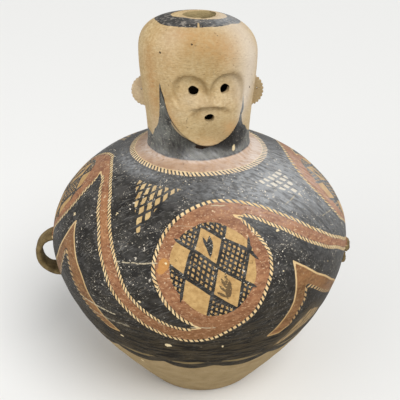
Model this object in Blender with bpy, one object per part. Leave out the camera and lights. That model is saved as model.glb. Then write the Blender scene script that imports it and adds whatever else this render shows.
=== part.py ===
"""Terracotta funerary jar with a head-shaped neck, built as one hollow fired piece.

The jar stands on the origin with +Z up. Its ears lie along the X axis, and its face, made by
hand a little off the middle between them, looks along -Y. An azimuth is measured in degrees
around the Z axis, from -Y towards +X.
"""
import math

import bmesh
import bpy
from mathutils import Matrix, Vector

# Body, from the foot up to where the neck starts
FOOT_RADIUS = 0.0710
FOOT_EDGE = 0.003
FOOT_SHIFT = 0.0020
BELLY_RADIUS = 0.1635
BELLY_HEIGHT = 0.182
SHOULDER_RISE = 0.111
SHOULDER_DROOP = 0.0028
NECK_RADIUS = 0.0532
NECK_FILLET = 0.006
FLARE_AT_BELLY = 1.74
FLARE_DROP = 0.30

# Head, from the neck up to the crown
HEAD_HEIGHT = 0.133
HEAD_RADIUS = 0.059
HEAD_WIDEST = 0.71
NECK_STRAIGHT = 0.10
CROWN_SQUARENESS = 2.75
CROWN_SLOPE = 0.40
CROWN_MOUTH_RADIUS = 0.0165
CROWN_LIP = 0.002

# Clay
WALL = 0.0065
FLOOR = 0.009

# Face: heights are shares of the head's height, angles are degrees from the face's middle
FACE_TURN = 10.0
EYE_HEIGHT = 0.556
EYE_ANGLE = 16.0
EYE_DIAMETER = 0.0094
MOUTH_HEIGHT = 0.351
MOUTH_WIDTH = 0.0088
MOUTH_DROP = 0.0066
SOCKET_HEIGHT = 0.535
SOCKET_HALF_HEIGHT = 0.140
SOCKET_ANGLE = 18.5
SOCKET_HALF_ANGLE = 19.0
SOCKET_DEPTH = 0.0030
NOSE_LINE = 0.435
NOSE_LINE_SAG = 0.035
NOSE_HALF_ANGLE = 27.0
NOSE_LIFT = 0.0028
MUZZLE_DEPTH = 0.0012
CHEEK_TOP = 0.505
JAW_HALF_ANGLE = 45.0
JAW_POINT = 1.85
CHIN_HEIGHT = 0.135
CHIN_REACH = 0.0080
JAW_EDGE = 0.0022
EDGE_SOFTNESS = 0.040

# Ears: flaps that stand out at both sides of the head
EAR_ANGLE = 88.0
EAR_HEIGHT = 0.430
LEFT_EAR_REACH = 0.0118
RIGHT_EAR_REACH = 0.0098
EAR_LENGTH = 0.032
EAR_THICKNESS = 0.0046

# Strap handle on the left; drops are below the belly's widest level
HANDLE_ANGLE = -84.0
HANDLE_DROP = 0.020
HANDLE_REACH = 0.0213
HANDLE_LENGTH = 0.053
HANDLE_SQUARENESS = 2.15
STRAP_WIDTH = 0.020
STRAP_THICKNESS = 0.0070
STRAP_FLARE = 1.3

# Broken roots of the right handle
STUMP_ANGLE = 80.0
UPPER_STUMP_DROP = 0.006
UPPER_STUMP_REACH = 0.0042
UPPER_STUMP_THICKNESS = 0.0090
LOWER_STUMP_DROP = 0.0225
LOWER_STUMP_REACH = 0.0016
LOWER_STUMP_THICKNESS = 0.0050

# Smoothness of the solids
FACE_SPAN = 110.0
FACE_COLUMNS = 28
BACK_COLUMNS = 32
CAVITY_COLUMNS = 36
OUTER_ROWS = {"wall": 9, "shoulder": 8, "fillet": 3, "head": 24, "dome": 6}
CAVITY_ROWS = {"wall": 6, "shoulder": 6, "fillet": 2, "head": 6, "dome": 6}
HOLE_SIDES = 14
HANDLE_STEPS = 12
EAR_SIDES = 18


def smooth(value):
    """Rise from 0 to 1 with level ends."""
    share = min(1.0, max(0.0, value))
    return share * share * (3.0 - 2.0 * share)


def neck_base():
    """Height at which the shoulder has closed in to the neck's radius."""
    return BELLY_HEIGHT + SHOULDER_RISE * math.sqrt(1.0 - (NECK_RADIUS / BELLY_RADIUS) ** 2)


def head_level(share):
    """Height above the ground of a level given as a share of the head's height."""
    return neck_base() + share * HEAD_HEIGHT


def body_radius(height):
    """Radius of the wall: it flares from the foot to the belly and closes in over the shoulder."""
    if height > BELLY_HEIGHT:
        return BELLY_RADIUS * math.sqrt(1.0 - ((height - BELLY_HEIGHT) / SHOULDER_RISE) ** 2)
    share = (BELLY_HEIGHT - height) / BELLY_HEIGHT
    flare = share ** (FLARE_AT_BELLY - FLARE_DROP * share)
    return BELLY_RADIUS - (BELLY_RADIUS - FOOT_RADIUS) * flare


def head_radius(height):
    """Radius of the neck and face, which swell towards the widest level of the head."""
    share = (height - neck_base()) / HEAD_HEIGHT
    swell = smooth((share - NECK_STRAIGHT) / (HEAD_WIDEST - NECK_STRAIGHT))
    return NECK_RADIUS + (HEAD_RADIUS - NECK_RADIUS) * swell


def wall_profile(rows):
    """Outer line of the jar as (radius, height) points, from the foot's edge to the crown's middle."""
    points = [(body_radius(0.0) - FOOT_EDGE, 0.0)]
    for row in range(rows["wall"]):
        height = FOOT_EDGE + (BELLY_HEIGHT - FOOT_EDGE) * row / rows["wall"]
        points.append((body_radius(height), height))
    shoulder_end = math.acos((NECK_RADIUS + NECK_FILLET) / BELLY_RADIUS)
    for row in range(rows["shoulder"] + 1):
        turn = shoulder_end * row / rows["shoulder"]
        points.append((BELLY_RADIUS * math.cos(turn), BELLY_HEIGHT + SHOULDER_RISE * math.sin(turn)))
    start = Vector(points[-1])
    corner = Vector((NECK_RADIUS, neck_base()))
    end = Vector((NECK_RADIUS, neck_base() + NECK_FILLET))
    for row in range(1, rows["fillet"] + 1):
        share = row / rows["fillet"]
        point = start * (1.0 - share) ** 2 + corner * 2.0 * share * (1.0 - share) + end * share ** 2
        points.append((point.x, point.y))
    top = head_level(HEAD_WIDEST)
    for row in range(1, rows["head"] + 1):
        height = end.y + (top - end.y) * row / rows["head"]
        points.append((head_radius(height), height))
    dome = HEAD_HEIGHT * (1.0 - HEAD_WIDEST)
    power = 2.0 / CROWN_SQUARENESS
    for row in range(1, rows["dome"]):
        turn = 0.5 * math.pi * row / rows["dome"]
        points.append((HEAD_RADIUS * math.cos(turn) ** power, top + dome * math.sin(turn) ** power))
    points.append((0.0, top + dome))
    return points


def cavity_profile():
    """Line of the hollow: the outer line set in by the wall, then the way out through the crown."""
    outer = wall_profile(CAVITY_ROWS)
    inner = [(0.0, FLOOR), (body_radius(FLOOR) - WALL, FLOOR)]
    for before, point, after in zip(outer, outer[1:], outer[2:]):
        along = (Vector(after) - Vector(before)).normalized()
        radius = point[0] - WALL * along.y
        height = point[1] + WALL * along.x
        above_floor = height > 1.5 * FLOOR
        beside_mouth = height < BELLY_HEIGHT or radius > CROWN_MOUTH_RADIUS
        if above_floor and beside_mouth:
            inner.append((radius, height))
    top = head_level(1.0)
    inner.append((CROWN_MOUTH_RADIUS, inner[-1][1]))
    inner.append((CROWN_MOUTH_RADIUS, top - CROWN_LIP))
    inner.append((CROWN_MOUTH_RADIUS + 2.0 * CROWN_LIP, top + CROWN_LIP))
    inner.append((0.0, top + CROWN_LIP))
    return inner


def socket_depth(angle, share):
    """Depth of the eye sockets: deepest under the brow, running out level towards the cheeks."""
    across = (abs(angle) - SOCKET_ANGLE) / SOCKET_HALF_ANGLE
    up = (share - SOCKET_HEIGHT) / SOCKET_HALF_HEIGHT
    rim = 1.0 - smooth((math.hypot(across, up) - 0.78) / 0.22)
    return SOCKET_DEPTH * rim * smooth(0.62 + 0.5 * up)


def face_relief(angle, share):
    """How far the face stands out of the turned head, negative where it is sunk into it."""
    relief = -socket_depth(angle, share)
    nose_side = angle / NOSE_HALF_ANGLE
    nose_line = NOSE_LINE - NOSE_LINE_SAG * nose_side * nose_side
    nose_width = 1.0 - smooth((abs(nose_side) - 0.55) / 0.6)
    over_nose = smooth((share - nose_line) / (0.5 * EDGE_SOFTNESS) + 0.5)
    relief += NOSE_LIFT * nose_width * over_nose * (1.0 - smooth((share - nose_line) / 0.13))
    across = abs(angle) / JAW_HALF_ANGLE
    if across >= 1.0:
        return relief
    jaw = CHEEK_TOP - (CHEEK_TOP - CHIN_HEIGHT) * (1.0 - across ** JAW_POINT) ** (1.0 / JAW_POINT)
    inside = smooth((share - jaw) / EDGE_SOFTNESS + 0.35)
    fall = max(0.0, min(1.0, (nose_line - share) / (nose_line - CHIN_HEIGHT)))
    front = 1.0 - smooth(across)
    muzzle = (CHIN_REACH + MUZZLE_DEPTH) * fall ** 1.4 * (0.25 + 0.75 * front)
    edge = JAW_EDGE * smooth((CHEEK_TOP - share) / 0.12) * (1.0 - front)
    under_nose = MUZZLE_DEPTH * nose_width * (1.0 - over_nose)
    return relief + inside * (muzzle + edge - under_nose)


def place(radius, azimuth, height):
    """Point at a radius, an azimuth and a height."""
    turn = math.radians(azimuth)
    return Vector((radius * math.sin(turn), -radius * math.cos(turn), height))


def hand_shape(azimuth, radius, height):
    """Point of the outer wall with the unevenness that the potter's hands left in it."""
    share = (height - neck_base()) / HEAD_HEIGHT
    turn = math.radians(azimuth)
    if NECK_FILLET / HEAD_HEIGHT < share <= HEAD_WIDEST:
        angle = (azimuth - FACE_TURN + 180.0) % 360.0 - 180.0
        radius += face_relief(angle, share)
    if share > HEAD_WIDEST:
        rise = (share - HEAD_WIDEST) / (1.0 - HEAD_WIDEST)
        squareness = CROWN_SQUARENESS - CROWN_SLOPE * math.sin(turn)
        level = (radius / HEAD_RADIUS) ** CROWN_SQUARENESS
        rise = (1.0 - min(1.0, level)) ** (1.0 / squareness)
        radius = HEAD_RADIUS * level ** (1.0 / squareness)
        height = head_level(HEAD_WIDEST + (1.0 - HEAD_WIDEST) * rise)
    point = place(radius, azimuth, height)
    if height < BELLY_HEIGHT:
        point.x += FOOT_SHIFT * (1.0 - height / BELLY_HEIGHT) ** 2
    elif share <= 0.0:
        rise = (height - BELLY_HEIGHT) / (neck_base() - BELLY_HEIGHT)
        point.z -= SHOULDER_DROOP * smooth(rise * 1.6) * smooth(point.x / BELLY_RADIUS * 2.0)
    return point


def column_azimuths():
    """Azimuths of the mesh columns, closer together across the face."""
    start = FACE_TURN - 0.5 * FACE_SPAN
    face = [start + FACE_SPAN * index / FACE_COLUMNS for index in range(FACE_COLUMNS)]
    rest = 360.0 - FACE_SPAN
    back = [start + FACE_SPAN + rest * index / BACK_COLUMNS for index in range(BACK_COLUMNS)]
    return face + back


def link(name, mesh):
    """Turn a finished bmesh into an object of the scene."""
    bmesh.ops.recalc_face_normals(mesh, faces=mesh.faces)
    data = bpy.data.meshes.new(name)
    mesh.to_mesh(data)
    mesh.free()
    data.shade_smooth()
    data.set_sharp_from_angle(angle=math.radians(50.0))
    thing = bpy.data.objects.new(name, data)
    bpy.context.collection.objects.link(thing)
    return thing


def skin(name, rings):
    """Closed solid through a row of rings, each a loop of points or a single point."""
    mesh = bmesh.new()
    loops = [[mesh.verts.new(point) for point in ring] for ring in rings]
    for lower, upper in zip(loops, loops[1:]):
        count = max(len(lower), len(upper))
        for index in range(count):
            after = (index + 1) % count
            corners = [lower[index % len(lower)], lower[after % len(lower)]]
            corners += [upper[after % len(upper)], upper[index % len(upper)]]
            mesh.faces.new(list(dict.fromkeys(corners)))
    for loop in (loops[0], loops[-1]):
        if len(loop) > 1:
            mesh.faces.new(loop)
    return link(name, mesh)


def tool(thing):
    """Keep an object only as a shape for the jar's Booleans."""
    thing.hide_render = True
    thing.display_type = "WIRE"
    return thing


def outer_wall():
    """The turned jar as a filled solid, with the face and the hand-made unevenness."""
    rings = []
    for radius, height in wall_profile(OUTER_ROWS):
        azimuths = column_azimuths() if radius else [0.0]
        rings.append([hand_shape(azimuth, radius, height) for azimuth in azimuths])
    return skin("jar", rings)


def cavity():
    """The hollow inside the jar, with its way out through the crown."""
    turns = [360.0 * index / CAVITY_COLUMNS for index in range(CAVITY_COLUMNS)]
    rings = []
    for radius, height in cavity_profile():
        azimuths = turns if radius else [0.0]
        rings.append([place(radius, azimuth, height) for azimuth in azimuths])
    return tool(skin("cavity", rings))


def piercing(name, azimuth, height, width, drop):
    """Oval hole through the head's wall, pointing at the head's axis."""
    mesh = bmesh.new()
    bmesh.ops.create_cone(mesh, cap_ends=True, segments=HOLE_SIDES, radius1=0.5, radius2=0.5, depth=1.0)
    length = 4.0 * (WALL + CHIN_REACH)
    stretch = Matrix.Diagonal((width, drop, length, 1.0))
    stand = Matrix.Rotation(math.radians(90.0), 4, "X")
    turn = Matrix.Rotation(math.radians(azimuth), 4, "Z")
    move = Matrix.Translation(place(head_radius(height), azimuth, height))
    bmesh.ops.transform(mesh, matrix=move @ turn @ stand @ stretch, verts=mesh.verts)
    return tool(link(name, mesh))


def ear(name, azimuth, stand_out):
    """Ear flap: an upright oval disc with a rounded rim, sunk into the side of the head."""
    height = head_level(EAR_HEIGHT)
    root = head_radius(height) - 0.5 * WALL
    reach = head_radius(height) + stand_out - root
    half = 0.5 * EAR_THICKNESS
    layers = [(0.80, -half), (1.0, -0.35 * half), (1.0, 0.35 * half), (0.80, half)]
    aside = place(1.0, azimuth + 90.0, 0.0)
    rings = []
    for size, offset in layers:
        ring = []
        for index in range(EAR_SIDES):
            around = 2.0 * math.pi * index / EAR_SIDES
            out = root + size * reach * math.cos(around)
            up = height + size * 0.5 * EAR_LENGTH * math.sin(around)
            ring.append(place(out, azimuth, up) + offset * aside)
        rings.append(ring)
    return tool(skin(name, rings))


def strap_ring(middle, along, azimuth, width, thickness):
    """Rounded cross-section of a strap around a point of its middle line."""
    section = [(-0.5, -0.2), (-0.4, -0.5), (0.4, -0.5), (0.5, -0.2)]
    section += [(0.5, 0.2), (0.4, 0.5), (-0.4, 0.5), (-0.5, 0.2)]
    normal = Vector((along.y, -along.x))
    aside = place(1.0, azimuth + 90.0, 0.0)
    ring = []
    for side, out in section:
        point = middle + normal * out * thickness
        ring.append(place(point.x, azimuth, point.y) + aside * side * width)
    return ring


def handle_line(turn):
    """Middle line of the handle as (radius, height), from its lower root to its upper one."""
    power = 2.0 / HANDLE_SQUARENESS
    middle = BELLY_HEIGHT - HANDLE_DROP
    root = body_radius(middle) - 0.5 * WALL
    reach = BELLY_RADIUS + HANDLE_REACH - 0.5 * STRAP_THICKNESS - root
    half = 0.5 * (HANDLE_LENGTH - STRAP_THICKNESS)
    out = root + reach * max(0.0, math.cos(turn)) ** power
    up = middle + half * math.copysign(abs(math.sin(turn)) ** power, turn)
    return Vector((out, up))


def handle():
    """Strap handle: a flat rounded band bent in the jar's radial plane, wider at its roots."""
    rings = []
    for step in range(HANDLE_STEPS + 1):
        turn = -0.5 * math.pi + math.pi * step / HANDLE_STEPS
        along = (handle_line(turn + 0.01) - handle_line(turn - 0.01)).normalized()
        if step in (0, HANDLE_STEPS):
            along = Vector((-math.copysign(1.0, turn), 0.0))
        near_root = smooth(abs(turn) / (0.25 * math.pi) - 1.0)
        width = STRAP_WIDTH * (1.0 + (STRAP_FLARE - 1.0) * near_root)
        rings.append(strap_ring(handle_line(turn), along, HANDLE_ANGLE, width, STRAP_THICKNESS))
    return tool(skin("handle", rings))


def stump(name, drop, reach, thickness):
    """Broken root of a strap: a short block that narrows outwards to a rough end."""
    outwards = Vector((1.0, 0.0))
    height = BELLY_HEIGHT - drop
    root = Vector((body_radius(height) - 0.5 * WALL, height))
    tip = Vector((BELLY_RADIUS + reach, height - 0.2 * thickness))
    waist = root.lerp(tip, 0.6)
    rings = [
        strap_ring(root, outwards, STUMP_ANGLE, STRAP_WIDTH * STRAP_FLARE, 1.5 * thickness),
        strap_ring(waist, outwards, STUMP_ANGLE, STRAP_WIDTH * 1.05, thickness),
        strap_ring(tip, outwards, STUMP_ANGLE, 0.7 * STRAP_WIDTH, 0.55 * thickness),
    ]
    return tool(skin(name, rings))


def combine(target, shape, operation):
    """Add a Boolean that joins or cuts the target with a shape."""
    step = target.modifiers.new(shape.name, "BOOLEAN")
    step.object = shape
    step.operation = operation
    step.solver = "EXACT"


def fired_clay():
    """Burnished fired clay."""
    clay = bpy.data.materials.new("fired clay")
    clay.use_nodes = True
    shader = clay.node_tree.nodes["Principled BSDF"]
    shader.inputs["Base Color"].default_value = (0.42, 0.25, 0.13, 1.0)
    shader.inputs["Roughness"].default_value = 0.55
    shader.inputs["Metallic"].default_value = 0.0
    return clay


def build_jar():
    """The whole jar: wall, handle, stumps and ears joined, then hollowed and pierced."""
    jar = outer_wall()
    additions = [handle()]
    additions.append(ear("ear_left", -EAR_ANGLE, LEFT_EAR_REACH))
    additions.append(ear("ear_right", EAR_ANGLE, RIGHT_EAR_REACH))
    additions.append(stump("stump_upper", UPPER_STUMP_DROP, UPPER_STUMP_REACH, UPPER_STUMP_THICKNESS))
    additions.append(stump("stump_lower", LOWER_STUMP_DROP, LOWER_STUMP_REACH, LOWER_STUMP_THICKNESS))
    for shape in additions:
        combine(jar, shape, "UNION")
    eye_level = head_level(EYE_HEIGHT)
    removals = [cavity()]
    removals.append(piercing("eye_left", FACE_TURN - EYE_ANGLE, eye_level, EYE_DIAMETER, EYE_DIAMETER))
    removals.append(piercing("eye_right", FACE_TURN + EYE_ANGLE, eye_level, EYE_DIAMETER, EYE_DIAMETER))
    removals.append(piercing("mouth", FACE_TURN, head_level(MOUTH_HEIGHT), MOUTH_WIDTH, MOUTH_DROP))
    for shape in removals:
        combine(jar, shape, "DIFFERENCE")
    jar.data.materials.append(fired_clay())


for old in list(bpy.data.objects):
    bpy.data.objects.remove(old)
build_jar()
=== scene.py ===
# %% [markdown]
# # A painted clay jar with a face for a neck
#
# The real object is a low-fired earthenware jar, built from coils of clay more than four
# thousand years ago. The potter scraped it smooth, burnished it with a pebble and painted it
# with two earth colours before it went into the kiln: a red slip coloured by iron oxide, and
# a black slip coloured by manganese.
#
# The CAD part gives the main shape. This file loads it as a fixed frame and lays a finely
# made jar over it, so that the paint, the nicks and the marks of the hand can be shown.

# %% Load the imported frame
import functools
import math

import bmesh
import bpy
import numpy as np
from mathutils import Matrix, Vector


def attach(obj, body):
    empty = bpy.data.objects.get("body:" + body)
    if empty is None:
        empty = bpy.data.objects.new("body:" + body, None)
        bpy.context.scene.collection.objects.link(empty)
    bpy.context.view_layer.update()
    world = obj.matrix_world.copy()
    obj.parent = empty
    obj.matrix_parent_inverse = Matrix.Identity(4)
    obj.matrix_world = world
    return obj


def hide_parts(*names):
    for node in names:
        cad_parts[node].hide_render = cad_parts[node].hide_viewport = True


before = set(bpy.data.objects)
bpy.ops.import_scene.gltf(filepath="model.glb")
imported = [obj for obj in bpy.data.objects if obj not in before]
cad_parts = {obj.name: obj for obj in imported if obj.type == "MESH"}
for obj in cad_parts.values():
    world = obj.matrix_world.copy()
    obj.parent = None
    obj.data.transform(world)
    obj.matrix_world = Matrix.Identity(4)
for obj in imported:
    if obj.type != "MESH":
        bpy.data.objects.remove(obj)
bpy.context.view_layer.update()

print("CAD nodes:", sorted(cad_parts))

# %% [markdown]
# ## The camera
#
# The photograph looks down on the jar by twenty-eight degrees from a little over two jar
# heights away, with the jar almost upright in the frame. The camera repeats that view. The
# picture is taken to be 400 by 400 pixels, and the focal length comes from that.

# %% Camera at the photograph's viewing angle
PICTURE_PIXELS = 400
FOCAL_PIXELS = 644.9
SENSOR_WIDTH = 36.0
CAMERA_PLACE = (0.0, -0.6333, 0.5554)
CAMERA_TILT = 28.19
CAMERA_ROLL = -0.45
CAMERA_SHIFT_PIXELS = 0.86

camera_data = bpy.data.cameras.new("camera")
camera_data.sensor_width = SENSOR_WIDTH
camera_data.lens = FOCAL_PIXELS / PICTURE_PIXELS * SENSOR_WIDTH
camera_data.shift_x = CAMERA_SHIFT_PIXELS / PICTURE_PIXELS
camera_data.clip_start = 0.01
camera = bpy.data.objects.new("camera", camera_data)
bpy.context.scene.collection.objects.link(camera)
look_down = Matrix.Rotation(math.radians(90.0 - CAMERA_TILT), 4, "X")
roll = Matrix.Rotation(math.radians(CAMERA_ROLL), 4, "Z")
camera.matrix_world = Matrix.Translation(CAMERA_PLACE) @ look_down @ roll
bpy.context.scene.camera = camera
print("camera lens:", round(camera_data.lens, 2), "mm")

# %% [markdown]
# ## The line of the wall
#
# A jar is a shape of revolution that the hand has pushed about. The line that is turned is
# the same as in the CAD part, so the two agree to a fraction of a millimetre. It has five
# stretches: the flaring wall, the round shoulder, a small fillet, the neck that swells into
# a head, and the flattened dome of the crown.

# %% Sizes of the jar, in metres
FOOT_RADIUS = 0.0710
FOOT_EDGE = 0.003
FOOT_SHIFT = 0.0020
BELLY_RADIUS = 0.1635
BELLY_HEIGHT = 0.182
FLARE_AT_BELLY = 1.74
FLARE_DROP = 0.30
SHOULDER_RISE = 0.111
SHOULDER_DROOP = 0.0028
NECK_RADIUS = 0.0532
NECK_FILLET = 0.006
HEAD_HEIGHT = 0.133
HEAD_RADIUS = 0.059
HEAD_WIDEST = 0.71
NECK_STRAIGHT = 0.10
CROWN_SQUARENESS = 2.75
CROWN_SLOPE = 0.40
MOUTH_RADIUS = 0.0165
LIP = 0.002
WALL = 0.0065
FLOOR = 0.009

NECK_BASE = BELLY_HEIGHT + SHOULDER_RISE * math.sqrt(1.0 - (NECK_RADIUS / BELLY_RADIUS) ** 2)
HEAD_TOP = NECK_BASE + HEAD_HEIGHT
WIDEST_LEVEL = NECK_BASE + HEAD_WIDEST * HEAD_HEIGHT
DOME = HEAD_TOP - WIDEST_LEVEL


def smooth(value):
    """Rise from 0 to 1 with level ends."""
    share = np.clip(value, 0.0, 1.0)
    return share * share * (3.0 - 2.0 * share)


def wall_radius(height):
    """Radius of the flaring wall below the belly."""
    share = np.clip((BELLY_HEIGHT - height) / BELLY_HEIGHT, 0.0, 1.0)
    return BELLY_RADIUS - (BELLY_RADIUS - FOOT_RADIUS) * share ** (FLARE_AT_BELLY - FLARE_DROP * share)


def head_radius(height):
    """Radius of the neck, which swells towards the widest level of the head."""
    share = (height - NECK_BASE) / HEAD_HEIGHT
    swell = smooth((share - NECK_STRAIGHT) / (HEAD_WIDEST - NECK_STRAIGHT))
    return NECK_RADIUS + (HEAD_RADIUS - NECK_RADIUS) * swell


def wall_line():
    """The outer line as dense points of radius and height, from the foot to the crown's middle."""
    low = np.linspace(FOOT_EDGE, BELLY_HEIGHT, 200)
    line = [np.column_stack([wall_radius(low), low])]
    end = math.acos((NECK_RADIUS + NECK_FILLET) / BELLY_RADIUS)
    turn = np.linspace(0.0, end, 200)[1:]
    shoulder = BELLY_HEIGHT + SHOULDER_RISE * np.sin(turn)
    line.append(np.column_stack([BELLY_RADIUS * np.cos(turn), shoulder]))
    start, corner = line[-1][-1], np.array([NECK_RADIUS, NECK_BASE])
    finish = corner + np.array([0.0, NECK_FILLET])
    share = np.linspace(0.0, 1.0, 30)[1:, None]
    line.append(start * (1 - share) ** 2 + corner * 2 * share * (1 - share) + finish * share ** 2)
    up = np.linspace(finish[1], WIDEST_LEVEL, 150)[1:]
    line.append(np.column_stack([head_radius(up), up]))
    turn = np.linspace(0.0, 0.5 * math.pi, 300)[1:]
    power = 2.0 / CROWN_SQUARENESS
    across = HEAD_RADIUS * np.maximum(np.cos(turn), 0.0) ** power
    line.append(np.column_stack([across, WIDEST_LEVEL + DOME * np.sin(turn) ** power]))
    return np.vstack(line)


WALL_LINE = wall_line()
STEPS = np.hypot(*np.diff(WALL_LINE, axis=0).T)
WAY_UP = np.concatenate([[0.0], np.cumsum(STEPS)]) + FOOT_EDGE
print("way up the wall in mm:", round(WAY_UP[-1] * 1000), "; neck begins at", round(NECK_BASE * 1000))

# %% [markdown]
# ## The potter's hand
#
# The face was modelled on the leather-hard neck. The eye sockets were pressed in under a
# straight brow, the lower face was built out to a chin with a sharp jaw edge, and a small
# ledge was left where the nose ends. The face looks ten degrees to its left. The rest of
# the wall is a little uneven, as coiled and scraped clay is.

# %% Relief of the face and unevenness of the wall
FACE_TURN = 10.0
EYE_LEVEL = 0.556
EYE_ANGLE = 16.0
HOLE_TURN = 1.0
MOUTH_LEVEL = 0.351
SOCKET_LEVEL = 0.535
SOCKET_HALF_HEIGHT = 0.140
SOCKET_ANGLE = 18.5
SOCKET_HALF_ANGLE = 19.0
SOCKET_DEPTH = 0.0038
NOSE_LINE = 0.437
NOSE_LINE_SAG = 0.050
NOSE_HALF_ANGLE = 27.0
NOSE_LIFT = 0.0028
MUZZLE_DEPTH = 0.0016
CHEEK_TOP = 0.505
JAW_HALF_ANGLE = 45.0
JAW_POINT = 1.85
CHIN_LEVEL = 0.135
CHIN_REACH = 0.0080
JAW_EDGE = 0.0022
JAW_SOFTNESS = 0.030
WAVE = 0.00028
COIL_WAVES = 290.0


def socket(angle, share):
    """Depth of the eye sockets: crisp under the brow, running out level towards the cheeks."""
    across = (np.abs(angle) - SOCKET_ANGLE) / SOCKET_HALF_ANGLE
    up = (share - SOCKET_LEVEL) / SOCKET_HALF_HEIGHT
    crisp = 0.22 - 0.11 * smooth(up)
    rim = 1.0 - smooth((np.hypot(across, up) - 1.0 + crisp) / crisp)
    return SOCKET_DEPTH * rim * smooth(0.62 + 0.5 * up)


def face_relief(angle, share):
    """How far the face stands out of the turned head, negative where it is sunk into it."""
    side = angle / NOSE_HALF_ANGLE
    nose_line = NOSE_LINE - NOSE_LINE_SAG * side * side
    width = 1.0 - smooth((np.abs(side) - 0.42) / 0.40)
    over = smooth((share - nose_line) / 0.014 + 0.5)
    relief = NOSE_LIFT * width * over * (1.0 - smooth((share - nose_line) / 0.13))
    on_front = np.abs(angle) < JAW_HALF_ANGLE
    across = np.minimum(np.abs(angle) / JAW_HALF_ANGLE, 1.0)
    round_off = (1.0 - across ** JAW_POINT) ** (1.0 / JAW_POINT)
    jaw = CHEEK_TOP - (CHEEK_TOP - CHIN_LEVEL) * round_off
    inside = smooth((share - jaw) / JAW_SOFTNESS + 0.35)
    fall = np.clip((nose_line - share) / (nose_line - CHIN_LEVEL), 0.0, 1.0)
    front = 1.0 - smooth(across)
    muzzle = (CHIN_REACH + MUZZLE_DEPTH) * fall ** 1.4 * (0.25 + 0.75 * front)
    edge = JAW_EDGE * smooth((CHEEK_TOP - share) / 0.12) * (1.0 - front)
    under_nose = MUZZLE_DEPTH * width * (1.0 - over)
    lower_face = inside * (muzzle + edge - under_nose)
    return relief - socket(angle, share) + np.where(on_front, lower_face, 0.0)


def foot_lean(height):
    """How far the lower wall is pushed to the right: most at the foot, nothing above the belly."""
    return FOOT_SHIFT * np.clip(1.0 - height / BELLY_HEIGHT, 0.0, 1.0) ** 2


def shoulder_rise(height):
    """Share of the way from the belly up to the neck."""
    return (height - BELLY_HEIGHT) / (NECK_BASE - BELLY_HEIGHT)


def shoulder_droop(height, across):
    """How far the shoulder sinks on its right side."""
    return SHOULDER_DROOP * smooth(shoulder_rise(height) * 1.6) * smooth(across / BELLY_RADIUS * 2.0)


def place(radius, azimuth, height):
    """Points at a radius, an azimuth in radians from the front and a height."""
    return np.column_stack([radius * np.sin(azimuth), -radius * np.cos(azimuth), height])


def hand_shape(points):
    """Move points of the turned outer wall to where the potter's hands left them."""
    azimuth = np.arctan2(points[:, 0], -points[:, 1])
    radius, height = np.hypot(points[:, 0], points[:, 1]), points[:, 2].copy()
    share = (height - NECK_BASE) / HEAD_HEIGHT
    angle = (np.degrees(azimuth) - FACE_TURN + 180.0) % 360.0 - 180.0
    on_face = (share > NECK_FILLET / HEAD_HEIGHT) & (share <= HEAD_WIDEST + 1e-6)
    radius = radius + np.where(on_face, face_relief(angle, share), 0.0)
    crown = (share > HEAD_WIDEST) & (radius > MOUTH_RADIUS + LIP)
    squareness = CROWN_SQUARENESS - CROWN_SLOPE * np.sin(azimuth)
    level = np.minimum(radius / HEAD_RADIUS, 1.0) ** CROWN_SQUARENESS
    rise = (1.0 - level) ** (1.0 / squareness)
    radius = np.where(crown, HEAD_RADIUS * level ** (1.0 / squareness), radius)
    height = np.where(crown, WIDEST_LEVEL + DOME * rise, height)
    calm = smooth(height / 0.03) * (1.0 - smooth((share - 0.1) / 0.2))
    coils = np.sin(height * COIL_WAVES + 2.0 * np.sin(azimuth * 2.0 + 1.0))
    bumps = np.sin(azimuth * 5.0 + height * 31.0) + 0.6 * np.sin(azimuth * 9.0 - height * 47.0 + 2.0)
    radius = radius + WAVE * calm * (0.6 * coils + bumps)
    moved = place(radius, azimuth, height)
    moved[:, 0] += foot_lean(height)
    shoulder = (height > BELLY_HEIGHT) & (share <= 0.0)
    moved[:, 2] -= np.where(shoulder, shoulder_droop(height, moved[:, 0]), 0.0)
    return moved


# %% [markdown]
# ## Turning the wall
#
# The wall is one closed skin: out from the middle of the foot, up the outside, over the
# small mouth in the crown and down the inside to the floor. A single point is extruded
# along that line and the line is spun once round the axis.

# %% Rows of the wall line
COLUMNS = 360
NORMAL_STEP = 0.002
PLAIN_TOP = 0.095
COLLAR_LOW = 0.356
COLLAR_TOP = 0.372
CROWN_LOW = 0.500


def at_way(way):
    """Points of radius and height at distances up the wall."""
    return np.column_stack([np.interp(way, WAY_UP, WALL_LINE[:, part]) for part in (0, 1)])


mouth_way = np.interp(-MOUTH_RADIUS - 2.2 * LIP, -WALL_LINE[-300:, 0], WAY_UP[-300:])
stretches = [
    (FOOT_EDGE, PLAIN_TOP, 19), (PLAIN_TOP, COLLAR_LOW, 97), (COLLAR_LOW, COLLAR_TOP, 8),
    (COLLAR_TOP, CROWN_LOW, 80), (CROWN_LOW, mouth_way, 26),
]
ways = np.concatenate([np.linspace(low, high, rows, endpoint=False) for low, high, rows in stretches])
outside = at_way(np.append(ways, mouth_way))

inner_stretches = [(0.012, 0.30, 10), (0.33, 0.39, 5), (0.42, 0.50, 3), (0.505, mouth_way - 0.004, 6)]
inner_ways = np.concatenate([np.linspace(low, high, rows) for low, high, rows in inner_stretches])
along = at_way(inner_ways + NORMAL_STEP) - at_way(inner_ways - NORMAL_STEP)
along /= np.hypot(*along.T)[:, None]
inside = at_way(inner_ways) + WALL * np.column_stack([-along[:, 1], along[:, 0]])
inside[:, 1] = np.where(along[:, 0] < 0, at_way(inner_ways)[:, 1] + WALL * along[:, 0], inside[:, 1])
inside = inside[(inside[:, 1] > 1.5 * FLOOR) & (inside[:, 0] > MOUTH_RADIUS + 0.001)]

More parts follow.
